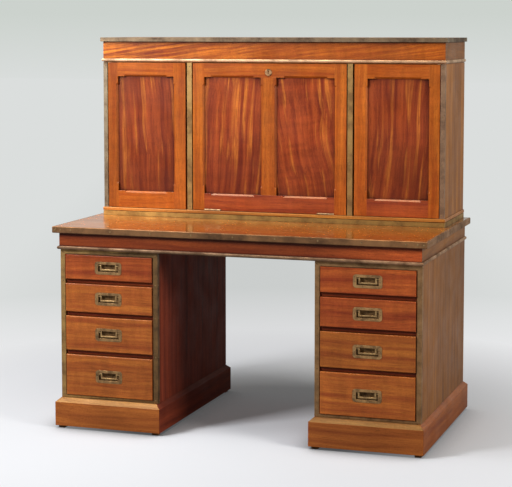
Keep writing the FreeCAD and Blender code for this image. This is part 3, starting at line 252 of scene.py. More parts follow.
def mahogany(name, pale, dark, grain, cut=0, slant=(0, 0, 0), shade=1.0, streak=38.0, drift=0.030,
             figure=EVEN, calm=None, gold=None, fiddle=0.0, fade=None, grit=0.7, wear_and_highlight=0.25,
             recess=0.010, grime_and_shade=(0.25, 0.85), shine=0.36, gloss=0.2, coat=0.05, relief=0.30):
    """Polished wood with its grain along one axis. cut moves the pattern to another part of the log.

    gold adds narrow pale streaks of that colour, and fiddle adds bands across the grain. calm is the
    stretch of x over which a bold figure dies away. Corners are darkened up to recess from them, as
    wax and painted shade, and the two numbers of grime_and_shade say how closed a corner must be to
    be black or clean. wear_and_highlight is how much paler corners come out, as wear and painted
    highlight. grit is the fine mottling, relief the depth of the grain, and fade an axis, two places
    on it and how much the colour changes at the first of them."""
    pale, dark = tinted(pale, shade), tinted(dark, shade)
    material, tree, shader = new_material(name)
    coordinates, place, bent = board_coordinates(tree, cut, slant, drift)
    along = add(tree, "Mapping", {"Vector": bent, "Scale": ALONG[grain]}).outputs[0]
    streaks = ramp(tree, noise(tree, along, streak, 4.0, 0.62), figure)
    if calm:
        bold = eased(tree, coordinates, "X", *calm, 1.0, SHARES["bold"])
        streaks = blend(tree, bold, MIDDLE_GREY, streaks)
    body = blend(tree, streaks, dark, pale)
    if gold:
        body = gilded(tree, along, streak, body, tinted(gold, shade))
    growth = ramp(tree, noise(tree, along, streak * 7, 2.0, 0.6), [(0.30, 0.78), (0.62, 1.0)])
    body = blend(tree, SHARES["growth"], body, growth, "MULTIPLY")
    patches = ramp(tree, noise(tree, place, SCALES["patches"]), [(0.3, 0.80), (0.7, 1.12)])
    body = blend(tree, SHARES["patches"], body, patches, "MULTIPLY")
    specks = ramp(tree, noise(tree, place, SCALES["specks"], 3.0, 0.7), [(0.35, 0.84), (0.65, 1.14)])
    body = blend(tree, grit, body, specks, "MULTIPLY")
    if fade:
        body = blend(tree, 1.0, body, eased(tree, coordinates, *fade), "MULTIPLY")
    if fiddle:
        turned = add(tree, "Mapping", {"Vector": bent, "Scale": ACROSS[grain],
                                       "Rotation": ACROSS_TURN}).outputs[0]
        bands = ramp(tree, noise(tree, turned, SCALES["bands"]), [(0.38, 0.72), (0.60, 1.22)])
        body = blend(tree, fiddle, body, bands, "MULTIPLY")
    pores = ramp(tree, noise(tree, along, SCALES["pores"], 1.0), [(0.60, 0.0), (0.70, 1.0)])
    body = blend(tree, calculate(tree, "MULTIPLY", pores, SHARES["pores"]), body, dark_of(dark))
    # Corners come out paler: wear, and a painted highlight along the edges.
    softened, corners = edge_mask(tree, WORN_RADIUS)
    body = blend(tree, calculate(tree, "MULTIPLY", corners, wear_and_highlight), body, lighter_of(pale))
    # Corners and recesses are darkened: old wax, and painted shade where boards shadow each other.
    wax_and_shade = nook_mask(tree, recess, [(grime_and_shade[0], 1.0), (grime_and_shade[1], 0.0)], SHARES["wax_and_shade"])
    body = blend(tree, wax_and_shade, body, dark_of(dark))
    tree.links.new(body, shader.inputs["Base Color"])
    height = blend(tree, SHARES["grain_lines"], growth, calculate(tree, "SUBTRACT", 1.0, pores))
    polish(tree, shader, place, height, softened, shine, gloss, coat, relief)
    return material


print("mahogany recipe ready")

# %% [markdown]
# ## Tones of mahogany
# No two boards of an old piece match. The frames of the doors are golden, the panels red and
# the sides brown. Some boards are also painted lighter towards one end, as painted light, and
# darkened under an overhang or in a recess, as painted shade. So each use of the wood has a tone
# of its own: a pale and a dark colour for the streaks, and whatever else sets that board apart.

# %% The tones
# The two stretches of x below carry fades of painted light: a part with a fade is painted lighter
# towards the left end of the desk with the first, and towards the right end with the second.
LIT_LEFT_END = ("X", -0.58, -0.24)
FAR_END = ("X", 0.66, 0.30)
TONES = {
    "frame": dict(pale=colour(200, 108, 34), dark=colour(162, 74, 22), fiddle=0.25, streak=55.0),
    "rail": dict(pale=colour(202, 108, 34), dark=colour(160, 72, 22), fiddle=0.25, streak=55.0),
    "sill": dict(pale=colour(178, 82, 34), dark=colour(136, 52, 24), fiddle=0.2, coat=0.5, streak=55.0),
    # The panels are darkened close to their frames, a painted shadow of the frames, and are darker
    # towards the bottom.
    "panel": dict(pale=colour(176, 80, 36), dark=colour(126, 46, 24), streak=50.0, fiddle=0.2,
                  drift=0.040, wear_and_highlight=0.0, gold=colour(214, 122, 48), recess=0.030, grime_and_shade=(0.66, 0.97),
                  fade=("Z", 0.92, 1.12, 0.72)),
    # The frieze over the doors is darkened close under the cornice: a painted shadow.
    "head": dict(pale=colour(236, 134, 42), dark=colour(136, 52, 22), streak=110.0, figure=BOLD,
                 drift=0.030, fiddle=0.3, calm=(-0.55, 0.05), recess=0.034, grime_and_shade=(0.68, 0.97)),
    # The edges of the drawer fronts come out paler: wear, and a painted highlight on the arris.
    "red_front": dict(pale=colour(172, 86, 38), dark=colour(130, 52, 26), streak=48.0, fiddle=0.3,
                      wear_and_highlight=0.6),
    "gold_front": dict(pale=colour(192, 111, 46), dark=colour(148, 71, 32), streak=48.0, fiddle=0.3,
                       wear_and_highlight=0.6),
    # The rails between the drawers are painted dark: painted shade between the fronts.
    "divider": dict(pale=colour(138, 62, 30), dark=colour(100, 38, 20), gloss=0.1),
    # The desk frieze is darkened close under the top, a painted shadow, and painted lighter towards its
    # right end, as painted light.
    "apron": dict(pale=colour(162, 77, 35), dark=colour(119, 47, 21), streak=48.0, recess=0.045,
                  grime_and_shade=(0.70, 0.98), fade=(*FAR_END, 2.5)),
    "carcass": dict(pale=colour(160, 104, 46), dark=colour(122, 74, 32), shine=0.40, coat=0.0,
                    gloss=0.16),
    # The faces towards the kneehole are painted darker: painted shade.
    "inner": dict(pale=colour(150, 68, 44), dark=colour(108, 45, 31), coat=0.0, shine=0.6, gloss=0.1),
    # The nosing is painted lighter towards the left end: painted light.
    "nosing": dict(pale=colour(194, 127, 54), dark=colour(156, 94, 40), streak=55.0,
                   fade=(*LIT_LEFT_END, 1.7)),
    "plinth": dict(pale=colour(180, 104, 48), dark=colour(140, 72, 36), coat=0.0, gloss=0.12),
    # The top bevels of the plinths are painted paler: painted light on faces that look up.
    "ledge": dict(pale=colour(190, 138, 76), dark=colour(150, 98, 50), coat=0.0, gloss=0.12),
    # The top is painted lighter towards the left end: painted light and reflection.
    "top": dict(pale=colour(182, 106, 34), dark=colour(144, 74, 22), shine=0.22, coat=0.6, grit=0.2,
                relief=0.06, fade=(*LIT_LEFT_END, 1.45)),
    "lining": dict(pale=colour(170, 118, 76), dark=colour(128, 80, 48), shine=0.62, coat=0.0,
                   wear_and_highlight=0.1, gloss=0.2),
}


def wood(tone, grain, cut=0, **changes):
    """The mahogany of one tone, grain and cut, made once and used again."""
    key = (tone, grain, cut, changes.get("shade"))
    if key not in CUTS:
        recipe = {**TONES[tone], **changes}
        CUTS[key] = mahogany(f"{tone}_{grain}_{len(CUTS)}", grain=grain, cut=cut, **recipe)
    return CUTS[key]


print(len(TONES), "tones of mahogany")

# %% [markdown]
# ## Brass
# The straps have not been polished for a long time. The metal is olive brown with greyer
# patches, brighter on the corners that hands and cloths reach, and almost black in its nooks,
# from tarnish and painted shade. Dull metal is mostly a matter of roughness, so the patches
# drive that as well as the colour.

# %% The brass recipe
PIT_SCALE, SCRATCH_SCALE = 260.0, 480.0
PIT_SHARE = 0.45
BRASS_EDGE, BRASS_NOOK = 0.0014, 0.006
SCRATCH_DEPTH, SCRATCH_STRENGTH = 0.0002, 0.35
BRUSHING = (1, 1, 0.15)
METAL = 0.6


def old_brass(name, clean, tarnished, patch=16.0, rough=0.42, nooks=0.85, wear_and_highlight=0.7, fade=None):
    """Aged brass with patches of tarnish, paler corners and fine scratches.

    patch is how many patches come to a metre, rough how dull the clean metal is, and nooks and
    wear_and_highlight how dark its corners and how bright its edges are. fade is as for wood."""
    material, tree, shader = new_material(name)
    coordinates = add(tree, "TexCoord").outputs["Object"]
    clouds = noise(tree, coordinates, patch, 5.0, 0.62)
    tarnish = ramp(tree, clouds, [(0.36, 1.0), (0.50, 0.45), (0.64, 0.0)])
    body = blend(tree, tarnish, clean, tarnished)
    pits = ramp(tree, noise(tree, coordinates, PIT_SCALE), [(0.62, 0.0), (0.72, 1.0)])
    body = blend(tree, calculate(tree, "MULTIPLY", pits, PIT_SHARE), body, dark_of(tarnished))
    if fade:
        body = blend(tree, 1.0, body, eased(tree, coordinates, *fade), "MULTIPLY")
    softened, corners = edge_mask(tree, BRASS_EDGE)
    body = blend(tree, calculate(tree, "MULTIPLY", corners, wear_and_highlight), body, clean)
    # Nooks are darkened towards old tarnish: tarnish, and painted shade.
    grime_and_shade = nook_mask(tree, BRASS_NOOK, [(0.2, 1.0), (0.8, 0.0)], nooks)
    body = blend(tree, grime_and_shade, body, dark_of(tarnished))
    tree.links.new(body, shader.inputs["Base Color"])
    shader.inputs["Metallic"].default_value = METAL
    roughness = ramp(tree, clouds, [(0.35, rough + 0.22), (0.65, rough)])
    tree.links.new(roughness, shader.inputs["Roughness"])
    brushed = add(tree, "Mapping", {"Vector": coordinates, "Scale": BRUSHING}).outputs[0]
    scratches = noise(tree, brushed, SCRATCH_SCALE, 3.0)
    bump = add(tree, "Bump", {"Height": scratches, "Distance": SCRATCH_DEPTH,
                              "Strength": SCRATCH_STRENGTH, "Normal": softened}).outputs[0]
    tree.links.new(bump, shader.inputs["Normal"])
    return material


print("brass recipe ready")

# %% [markdown]
# ## Shades of brass
# Each strip, edge and fitting has weathered in its own way, and some are also painted lighter
# or darker for the light on them: the bead over the doors is bright with a painted highlight,
# and the insides of the cups are dark. So the recipe is run once for each shade, with a colour
# for clean metal and one for tarnish.

# %% Shades of brass
# Edging, low bead, base and plate are painted lighter towards one end of the desk: painted light.
SHADES = {
    "strap": dict(clean=colour(180, 142, 84), tarnished=colour(128, 96, 56)),
    # The outer corner strips are paler and greyer: a painted reflection of the pale backdrop.
    "pale": dict(clean=colour(152, 134, 108), tarnished=colour(106, 84, 62), patch=22.0),
    "grey": dict(clean=colour(162, 128, 99), tarnished=colour(114, 86, 66)),
    "outer": dict(clean=colour(170, 128, 84), tarnished=colour(116, 85, 54)),
    # The darker inner brass is painted shade: on the pedestal strip by the kneehole and in the keyhole.
    "inner": dict(clean=colour(132, 98, 58), tarnished=colour(82, 59, 36)),
    "edging": dict(clean=colour(144, 103, 66), tarnished=colour(82, 55, 32), patch=10.0,
                   fade=(*FAR_END, 1.4)),
    # The bead is bright: a painted highlight.
    "bead": dict(clean=colour(226, 188, 150), tarnished=colour(170, 132, 100), nooks=0.3, rough=0.34),
    "low_bead": dict(clean=colour(146, 114, 86), tarnished=colour(92, 66, 45), nooks=0.6,
                     fade=(*FAR_END, 1.9)),
    "base": dict(clean=colour(174, 136, 72), tarnished=colour(118, 87, 42), patch=13.0,
                 fade=(*LIT_LEFT_END, 1.9)),
    "cornice": dict(clean=colour(136, 114, 88), tarnished=colour(86, 66, 49)),
    "plate": dict(clean=colour(168, 130, 84), tarnished=colour(104, 78, 50), patch=40.0,
                  fade=(*FAR_END, 1.6)),
    "bail": dict(clean=colour(186, 152, 102), tarnished=colour(130, 100, 64), patch=60.0, nooks=0.5),
    "cup": dict(clean=colour(144, 108, 66), tarnished=colour(88, 64, 38), rough=0.5, patch=60.0,
                wear_and_highlight=0.2),
    # The hinges are bright: a painted highlight on the knuckles.
    "hinge": dict(clean=colour(206, 176, 134), tarnished=colour(136, 104, 72), patch=60.0),
    "rose": dict(clean=colour(176, 134, 92), tarnished=colour(120, 86, 56), patch=60.0),
    "screw": dict(clean=colour(170, 140, 96), tarnished=colour(112, 84, 52), patch=90.0, nooks=1.0),
}
brass = {shade: old_brass(f"{shade}_brass", **tones) for shade, tones in SHADES.items()}
print(len(brass), "shades of brass")

# %% [markdown]
# ## Giving each board its own wood
# One part of the frame can hold several boards, such as the two stiles and two rails of a door.
# Their grain runs different ways, so each face is sorted by where its middle lies. The
# rules below are tried in turn and the first one that fits decides the wood.

# %% Sort faces by place
def dress(name, *rules):
    """Give a part its materials. Each rule is a material and a test of a face's middle."""
    piece = nodes[name]
    piece.data.materials.clear()
    for material, _ in rules:
        piece.data.materials.append(material)
    for face in piece.data.polygons:
        for slot, (_, test) in enumerate(rules):
            if test(face.center):
                face.material_index = slot
                break


def always(middle):
    """The rule for whatever is left."""
    return True


def ring_sides(name):
    """A test for the side boards of a mitred frame: nearer a side than the front or back."""
    low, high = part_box(name)
    def is_side(middle):
        to_side = min(middle.x - low.x, high.x - middle.x)
        to_front = min(middle.y - low.y, high.y - middle.y)
        return to_side < to_front
    return is_side


def beyond(axis, level):
    """A test for faces past a level on one axis."""
    return lambda middle: middle["xyz".index(axis)] > level


print("sorting rules ready")

# %% [markdown]
# ## The pedestals
# The sides have upright grain, and the plinth boards run round the foot. The sides that face the
# kneehole are redder and duller, and painted darker as painted shade. The top bevels of the
# plinths are painted paler, as painted light, the right one less so. Rails and runners between the
# drawers are seen only as thin dark lines, and the rails are painted dark as painted shade. They
# still get wood like the rest, because they come into sight when a drawer is pulled out. The sizes
# below, here and in the next steps, are those of the boards that they pick out, give or take a hair.

# %% Dress the pedestals
SIDES = ("left", "right")
SIDE_BOARD = 0.0205
PLINTH_BEVEL = 0.018
RAIL_DEPTH = 0.062
# The right plinth's top bevel is painted darker than the left: painted shade.
LEDGE_SHADES = (1.0, 0.7)
for number, side in enumerate(SIDES):
    case = f"{side}_pedestal_case"
    low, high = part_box(case)
    outside, kneehole = wood("carcass", "Z", number), wood("inner", "Z", number + 2)
    left_wall, right_wall = (outside, kneehole) if side == "left" else (kneehole, outside)
    dress(case,
          (left_wall, lambda m: m.x < low.x + SIDE_BOARD),
          (right_wall, lambda m: m.x > high.x - SIDE_BOARD),
          (wood("lining", "X", 1), always))
    plinth = f"{side}_plinth"
    foot_side = ring_sides(plinth)
    middle_x = sum(corner.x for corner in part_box(plinth)) / 2
    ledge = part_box(plinth)[1].z - PLINTH_BEVEL
    dress(plinth,
          (wood("inner", "Y", number), lambda m: foot_side(m) and abs(m.x) < abs(middle_x)),
          (wood("ledge", "X", number, shade=LEDGE_SHADES[number]),
           lambda m: m.z > ledge and not foot_side(m)),
          (wood("plinth", "Y", number), foot_side),
          (wood("plinth", "X", number), always))
    rails = f"{side}_drawer_rails"
    dress(rails, (wood("lining", "Y", 1), beyond("y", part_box(rails)[0].y + RAIL_DEPTH)),
          (wood("divider", "X", 5), always))
    strips = f"{side}_pedestal_brass"
    # On the left pedestal, the strip by the kneehole gets darker brass: painted shade.
    near_wall = brass["inner"] if side == "left" else brass["outer"]
    far_wall = brass["strap"] if side == "left" else brass["outer"]
    dress(strips, (near_wall, beyond("x", middle_x)), (far_wall, always))
dress("plinth_feet", (wood("lining", "Z", 0), always))
print("pedestals dressed")

# %% [markdown]
# ## Drawers and handles
# Each drawer front is one board with its grain running across, cut from a different part of the
# log. The top fronts are the reddest. Each front, from the top down, has a tone and a shade that
# lightens or darkens it; the two red fronts on the right are painted lighter, as painted light.
# Behind it the linings are plain, dull wood. The handle is a plate let in flush, with a cup sunk
# behind it, which is coloured darker than the plate.

# %% Dress the drawers
LEVELS = (1, 2, 3, 4)
FRONT_BOARD = 0.0238
DRAWER_SIDE = 0.0125
PLATE_THICKNESS = 0.0028
RED, GOLD = "red_front", "gold_front"
# On the right the two red fronts are painted lighter: painted light.
FRONTS = {"left": ((RED, 1.0), (GOLD, 1.05), (GOLD, 1.0), (GOLD, 0.88)),
          "right": ((RED, 1.3), (RED, 1.2), (GOLD, 0.88), (GOLD, 1.08))}
for number, side in enumerate(SIDES):
    for level in LEVELS:
        drawer = f"{side}_drawer_{level}"
        low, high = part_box(drawer)
        lined = low.y + FRONT_BOARD
        half = (high.x - low.x) / 2
        middle_x = (high.x + low.x) / 2
        tone, shade = FRONTS[side][level - 1]
        dress(drawer,
              (wood(tone, "X", 10 * number + level, shade=shade), lambda m: m.y < lined),
              (wood("lining", "Y", 2), lambda m: abs(m.x - middle_x) > half - DRAWER_SIDE),
              (wood("lining", "X", 3), always))
        plate = f"{side}_handle_plate_{level}"
        plate_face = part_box(plate)[0].y
        dress(plate, (brass["cup"], beyond("y", plate_face + PLATE_THICKNESS)),
              (brass["plate"], always))
        dress(f"{side}_bail_{level}", (brass["bail"], always))
print("eight drawers dressed")

# %% [markdown]
# ## The desk section
# The top is the most handled board and the glossiest. Its brass edging and the thin bead under
# the frieze are separate strips, so they differ a little in colour.

# %% Dress the desk section
dress("desk_frieze", (wood("carcass", "Y", 4, shade=0.9), ring_sides("desk_frieze")),
      (wood("apron", "X", 1), always))
dress("desk_top", (wood("top", "X", 1), always))
dress("desk_top_edging", (brass["edging"], always))
dress("desk_frieze_bead", (brass["low_bead"], always))
print("desk section dressed")

# %% [markdown]
# ## The cabinet
# The carcass is plain upright boards, and its back and shelves are lining wood. Its right side is
# painted lighter than its left, as painted light. The frieze over the doors has a bold figure that
# slants and dies away to the right. The brass strips at the outer corners are painted paler and
# greyer than those beside the fall, as a painted reflection of the pale backdrop.

# %% Dress the cabinet
PIGEONHOLE_HEIGHT = 0.2499
FALL_REACH = 0.3
STRIP_REACH = 0.5
HEAD_SLANT = (0, 0.13, 0)
dress("cabinet_base", (wood("carcass", "Y", 2), ring_sides("cabinet_base")),
      (wood("rail", "X", 2, shade=0.8), always))
dress("cabinet_base_brass", (brass["base"], always))
dress("cabinet_floor_and_top", (wood("nosing", "X", 3), always))
# The right side is painted lighter: painted light.
dress("cabinet_sides", (wood("carcass", "Z", 6, shade=1.3), beyond("x", 0)),
      (wood("carcass", "Z", 7), always))
dress("cabinet_partitions", (wood("carcass", "Z", 8), always))
dress("cabinet_back", (wood("lining", "Z", 4), always))
pigeonhole_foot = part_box("cabinet_shelves")[1].z - PIGEONHOLE_HEIGHT
dress("cabinet_shelves",
      (wood("lining", "Z", 5), lambda m: m.z > pigeonhole_foot and abs(m.x) < FALL_REACH),
      (wood("lining", "X", 6), always))
dress("cabinet_frieze", (wood("carcass", "Y", 5), ring_sides("cabinet_frieze")),
      (wood("head", "X", 1, slant=HEAD_SLANT), always))
# The bead is painted bright: a painted highlight.
dress("cabinet_frieze_bead", (brass["bead"], always))
dress("cornice_board", (wood("carcass", "X", 3), always))
dress("cornice_edging", (brass["cornice"], always))
# The outer strips are paler and greyer: a painted reflection of the pale backdrop.
dress("cabinet_brass_strips", (brass["pale"], lambda m: m.x < -STRIP_REACH),
      (brass["grey"], beyond("x", STRIP_REACH)), (brass["strap"], always))
dress("door_pivots", (brass["hinge"], always))
print("cabinet dressed")

# %% [markdown]
# ## The doors and the fall
# Here the grain follows the joinery: upright in the stiles, across in the rails. A frame is one
# part, so its boards are told apart by how far a face lies from the frame's edges. Each stile is
# made lighter or darker by a factor of its own. The panels are the showpieces: red wood with
# narrow golden streaks that lean one way or the other.

# %% Dress the doors and the fall
TOP_RAIL, BOTTOM_RAIL = 0.0547, 0.0662
HANGING_STILE, FREE_STILE, FALL_STILE = 0.0432, 0.0502, 0.0472


def dress_frame(name, left_width, right_width, cut, shades, sill="sill"):
    """Stiles upright, rails across. shades lighten or darken the left, right and middle stile."""
    low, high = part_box(name)
    left, right, middle = shades
    dress(name,
          (wood("frame", "Z", cut, shade=left), lambda m: m.x < low.x + left_width),
          (wood("frame", "Z", cut + 1, shade=right), lambda m: m.x > high.x - right_width),
          (wood(sill, "X", cut), lambda m: m.z < low.z + BOTTOM_RAIL),
          (wood("rail", "X", cut + 1), lambda m: m.z > high.z - TOP_RAIL),
          (wood("frame", "Z", cut + 2, shade=middle), always))


dress_frame("left_door_frame", HANGING_STILE, FREE_STILE, 20, (0.78, 0.93, 1.0), "rail")
dress_frame("right_door_frame", FREE_STILE, HANGING_STILE, 24, (1.06, 0.86, 1.0))
dress_frame("fall_frame", FALL_STILE, FALL_STILE, 28, (0.92, 0.98, 0.8))
print("three frames dressed")

# %% Dress the panels and the fittings of the fall
LEAN_LEFT, LEAN_RIGHT, SWEEP = (0, 0.04, 0), (0, -0.07, 0), (0, 0.14, 0)
KEYHOLE_HEIGHT, KEYHOLE_RADIUS = 0.028, 0.007
dress("left_door_panel", (wood("panel", "Z", 1, shade=0.8, slant=LEAN_LEFT), always))
dress("right_door_panel", (wood("panel", "Z", 2, shade=0.85, slant=LEAN_RIGHT), always))
dress("fall_panels",
      (wood("panel", "Z", 3, drift=0.055, fiddle=0.45, slant=SWEEP), beyond("x", 0)),
      (wood("panel", "Z", 4, slant=LEAN_RIGHT), always))
# The keyhole is painted dark brass: painted shade in the hole.
lock_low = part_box("fall_lock")[0]
keyhole = Vector((0, lock_low.y, lock_low.z + KEYHOLE_HEIGHT))
dress("fall_lock", (brass["inner"], lambda m: (m - keyhole).length < KEYHOLE_RADIUS),
      (brass["rose"], always))
dress("fall_hinge_fixed", (brass["hinge"], always))
dress("fall_hinge_moving", (brass["hinge"], always))
print("panels, lock and hinges dressed")

# %% [markdown]
# ## Screws
# The corner strips, the edging of the top and the handle plates are held by small slotted screws.
# They are filed nearly flush, and their slots point all ways because nobody lined them up. One
# head is enough to model: a short cylinder whose top is inset, cut across twice and pushed down
# between the cuts to make the slot. The rim is then bevelled, so that it catches a little light.
# Each copy gets its own mesh, is turned to another angle and is joined to its neighbours.

# %% Model one screw head
SCREW_RADIUS, SCREW_HEIGHT = 0.0034, 0.0007
SLOT_SHARE, RIM_SHARE, SLOT_DEPTH = 0.13, 0.14, 0.8
BEVEL_SHARE = 0.5
INNER_LENGTH, INNER_WIDTH = 0.8, 0.3
FACING_UP, NEARLY = 0.9, 0.97


def pick(piece, kind, test):
    """In edit mode, select only the faces or edges whose middle passes a test."""
    bpy.ops.mesh.select_mode(type=kind)
    bpy.ops.mesh.select_all(action="DESELECT")
    shape = bmesh.from_edit_mesh(piece.data)
    for element in (shape.faces if kind == "FACE" else shape.edges):
        middle = sum((corner.co for corner in element.verts), Vector()) / len(element.verts)
        element.select_set(test(middle, element))
    bmesh.update_edit_mesh(piece.data)


def faces_up(face):
    """A test for the faces of the head's top."""
    return face.normal.z > FACING_UP


def model_screw(radius, height):
    """A slotted head that stands on the origin and faces +Z."""
    slot = SLOT_SHARE * radius
    rim = RIM_SHARE * radius
    bpy.ops.mesh.primitive_cylinder_add(vertices=20, radius=radius, depth=height,
                                        location=(0, 0, height / 2))
    head = bpy.context.object
    bpy.ops.object.transform_apply(location=True, rotation=False, scale=False)
    bpy.ops.object.mode_set(mode="EDIT")
    pick(head, "FACE", lambda middle, face: faces_up(face))
    bpy.ops.mesh.inset(thickness=rim)
    for side in (-slot, slot):
        pick(head, "FACE", lambda middle, face: faces_up(face)
             and abs(middle.x) < INNER_LENGTH * radius and abs(middle.y) < INNER_WIDTH * radius)
        bpy.ops.mesh.bisect(plane_co=(side, 0, 0), plane_no=(1, 0, 0))
    pick(head, "FACE", lambda middle, face: faces_up(face) and middle.length < slot + height)
    bpy.ops.mesh.extrude_region_move(TRANSFORM_OT_translate={"value": (0, 0, -SLOT_DEPTH * height)})
    pick(head, "EDGE", lambda middle, edge: middle.z > NEARLY * height
         and min(corner.co.xy.length for corner in edge.verts) > NEARLY * radius)
    bpy.ops.mesh.bevel(offset=BEVEL_SHARE * rim, segments=2)
    bpy.ops.object.mode_set(mode="OBJECT")
    head.select_set(False)
    return head


screw_head = model_screw(SCREW_RADIUS, SCREW_HEIGHT)
print("one screw head has", len(screw_head.data.polygons), "faces")

# %% [markdown]
# ## Driving the screws
# The edging of the top has a screw about every sixteen centimetres, and two on each leg of its
# front corner pieces. The head was modelled facing up, so each copy is turned to face its side.

# %% Screws in the edging of the top
QUARTER = math.radians(90)
TURNS = {"front": Matrix.Rotation(QUARTER, 4, "X"), "right": Matrix.Rotation(QUARTER, 4, "Y"),
         "left": Matrix.Rotation(-QUARTER, 4, "Y")}
NEXT_TURN = 2.4
CORNER_LEG = 0.046
CORNER_SCREWS = (0.012, 0.034)
FIRST_SCREW = 0.03
EDGING_STEP = 0.165


def drive_screws(name, body, places, size=1.0):
    """Copy the head to each (x, y, z, side), join the copies and let them ride on a body."""
    bpy.ops.object.select_all(action="DESELECT")
    for number, (x, y, z, side) in enumerate(places):
        head = screw_head.copy()
        head.data = screw_head.data.copy()
        head.data.transform(Matrix.Translation((x, y, z)) @ TURNS[side]
                            @ Matrix.Rotation(NEXT_TURN * number, 4, "Z") @ Matrix.Scale(size, 4))
        bpy.context.scene.collection.objects.link(head)
        head.select_set(True)
        bpy.context.view_layer.objects.active = head
    bpy.ops.object.join()
    piece = bpy.context.object
    piece.name = name
    piece.data.materials.append(brass["screw"])
    piece.select_set(False)
    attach(piece, body)


def spread(first, last, step):
    """Even places from first to last, about a step apart."""
    count = max(1, round(abs(last - first) / step))
    return [first + (last - first) * number / count for number in range(count + 1)]


low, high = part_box("desk_top_edging")
middle_z = (low.z + high.z) / 2
start = CORNER_LEG + FIRST_SCREW
along_front = spread(low.x + start, high.x - start, EDGING_STEP)
along_front += [corner for end in CORNER_SCREWS for corner in (low.x + end, high.x - end)]
along_side = spread(low.y + start, high.y - FIRST_SCREW, EDGING_STEP)
along_side += [low.y + end for end in CORNER_SCREWS]
places = [(x, low.y, middle_z, "front") for x in along_front]
for y in along_side:
    places += [(low.x, y, middle_z, "left"), (high.x, y, middle_z, "right")]
drive_screws("edging_screws", "desk", places)
print(len(places), "screws in the edging of the top")

# %% [markdown]
# ## Screws of the corner strips
# The strips on the corners of the pedestals are screwed beside each rail between two drawers, where
# there is wood behind them, and at both ends. Those of the cabinet are screwed evenly up
# their height, and there the screws round the corner sit a little higher than those in front.

# %% Drive the screws of the corner strips
SMALLER = 0.75
UNDER_DRAWER = 0.0075
STRIP_END, STRIP_EDGE = 0.012, 0.009
CABINET_END, CABINET_EDGE, CABINET_STEP = 0.014, 0.01, 0.18
PARTITION_MIDDLE = 0.011
CORNER_RISE = 0.02
places = []
for side in SIDES:
    low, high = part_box(f"{side}_pedestal_brass")
    levels = [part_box(f"{side}_drawer_{level}")[0].z - UNDER_DRAWER for level in LEVELS[:-1]]
    for z in levels + [low.z + STRIP_END, high.z - STRIP_END]:
        places += [(x, low.y, z, "front") for x in (low.x + STRIP_EDGE, high.x - STRIP_EDGE)]
        places += [(low.x, low.y + STRIP_EDGE, z, "left"), (high.x, low.y + STRIP_EDGE, z, "right")]
drive_screws("pedestal_strip_screws", "desk", places, SMALLER)
print(len(places), "screws in the strips of the pedestals")

low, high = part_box("cabinet_brass_strips")
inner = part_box("cabinet_partitions")[1].x - PARTITION_MIDDLE
places = []
for z in spread(low.z + CABINET_END, high.z - CABINET_END, CABINET_STEP):
    places += [(x, low.y, z, "front")
               for x in (low.x + CABINET_EDGE, -inner, inner, high.x - CABINET_EDGE)]
    places += [(low.x, low.y + CABINET_EDGE, z + CORNER_RISE, "left"),
               (high.x, low.y + CABINET_EDGE, z + CORNER_RISE, "right")]
drive_screws("cabinet_strip_screws", "desk", places, SMALLER)
print(len(places), "screws in the strips of the cabinet")

# %% [markdown]
# ## Screws of the handle plates
# A plate is held by one screw at each end, halfway up, and these screws ride with their drawer.
# Once the last of them is driven, the head that all were copied from is thrown away.

# %% Drive the screws of the handle plates
PLATE_END = 0.0065
SMALLEST = 0.72
for side in SIDES:
    for level in LEVELS:
        low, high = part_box(f"{side}_handle_plate_{level}")
        middle_z = (low.z + high.z) / 2
        places = [(x, low.y, middle_z, "front") for x in (low.x + PLATE_END, high.x - PLATE_END)]
        drive_screws(f"{side}_plate_screws_{level}", f"{side}_drawer_{level}", places, SMALLEST)
bpy.data.objects.remove(screw_head)
print("handle plates screwed down")

# %% [markdown]
# ## Floor
# The desk stands on a wide sheet of pale paper. Near the desk the paper is shaded like any dull
# surface, so that it keeps the soft shadows. Farther out it comes to glow evenly, for the
# camera and for polished surfaces only, so it stays pale without any more light on the desk. It
# is a little darker in a band from the camera past the desk, and right under the desk it is
# painted nearly black, a painted contact shadow.

# %% The floor
HORIZON = colour(219, 222, 221)
NEAR_PAPER = colour(243, 243, 245)
PAPER_SEEN, PAPER_UNSEEN = colour(226, 229, 235), MIDDLE_GREY
PAPER_REACH = (1.3, 3.2)
SIDEWAYS = (0.948, 0.317, 0)
MIDDLE_BAND, MIDDLE_SHADE = (0.2, 1.7), 0.84
GLOW_REACH, LEAST_GLOW = (0.55, 1.9), 0.10
MIRRORED_GLOW = 0.45
CONTACT_REACH = 0.16
FLOOR_SIZE = 80
bpy.ops.mesh.primitive_plane_add(size=FLOOR_SIZE, location=(0, 0, 0))
floor = bpy.context.object
floor.name = "studio_floor"
floor_material, tree, shader = new_material("studio_floor")
shader.inputs["Roughness"].default_value = 0.95
shader.inputs["Specular IOR Level"].default_value = 0.1
spot = add(tree, "TexCoord").outputs["Object"]
distance = add(tree, "VectorMath", {0: spot}, operation="LENGTH").outputs["Value"]
paper = blend(tree, between(tree, distance, *PAPER_REACH), NEAR_PAPER, HORIZON)
across = calculate(tree, "ABSOLUTE", dot(tree, spot, SIDEWAYS))
paper = blend(tree, 1.0, paper, between(tree, across, *MIDDLE_BAND, MIDDLE_SHADE), "MULTIPLY")
glow = add(tree, "Emission", {"Color": paper}).outputs[0]
path = add(tree, "LightPath")
to_camera, to_polish = path.outputs["Is Camera Ray"], path.outputs["Is Glossy Ray"]
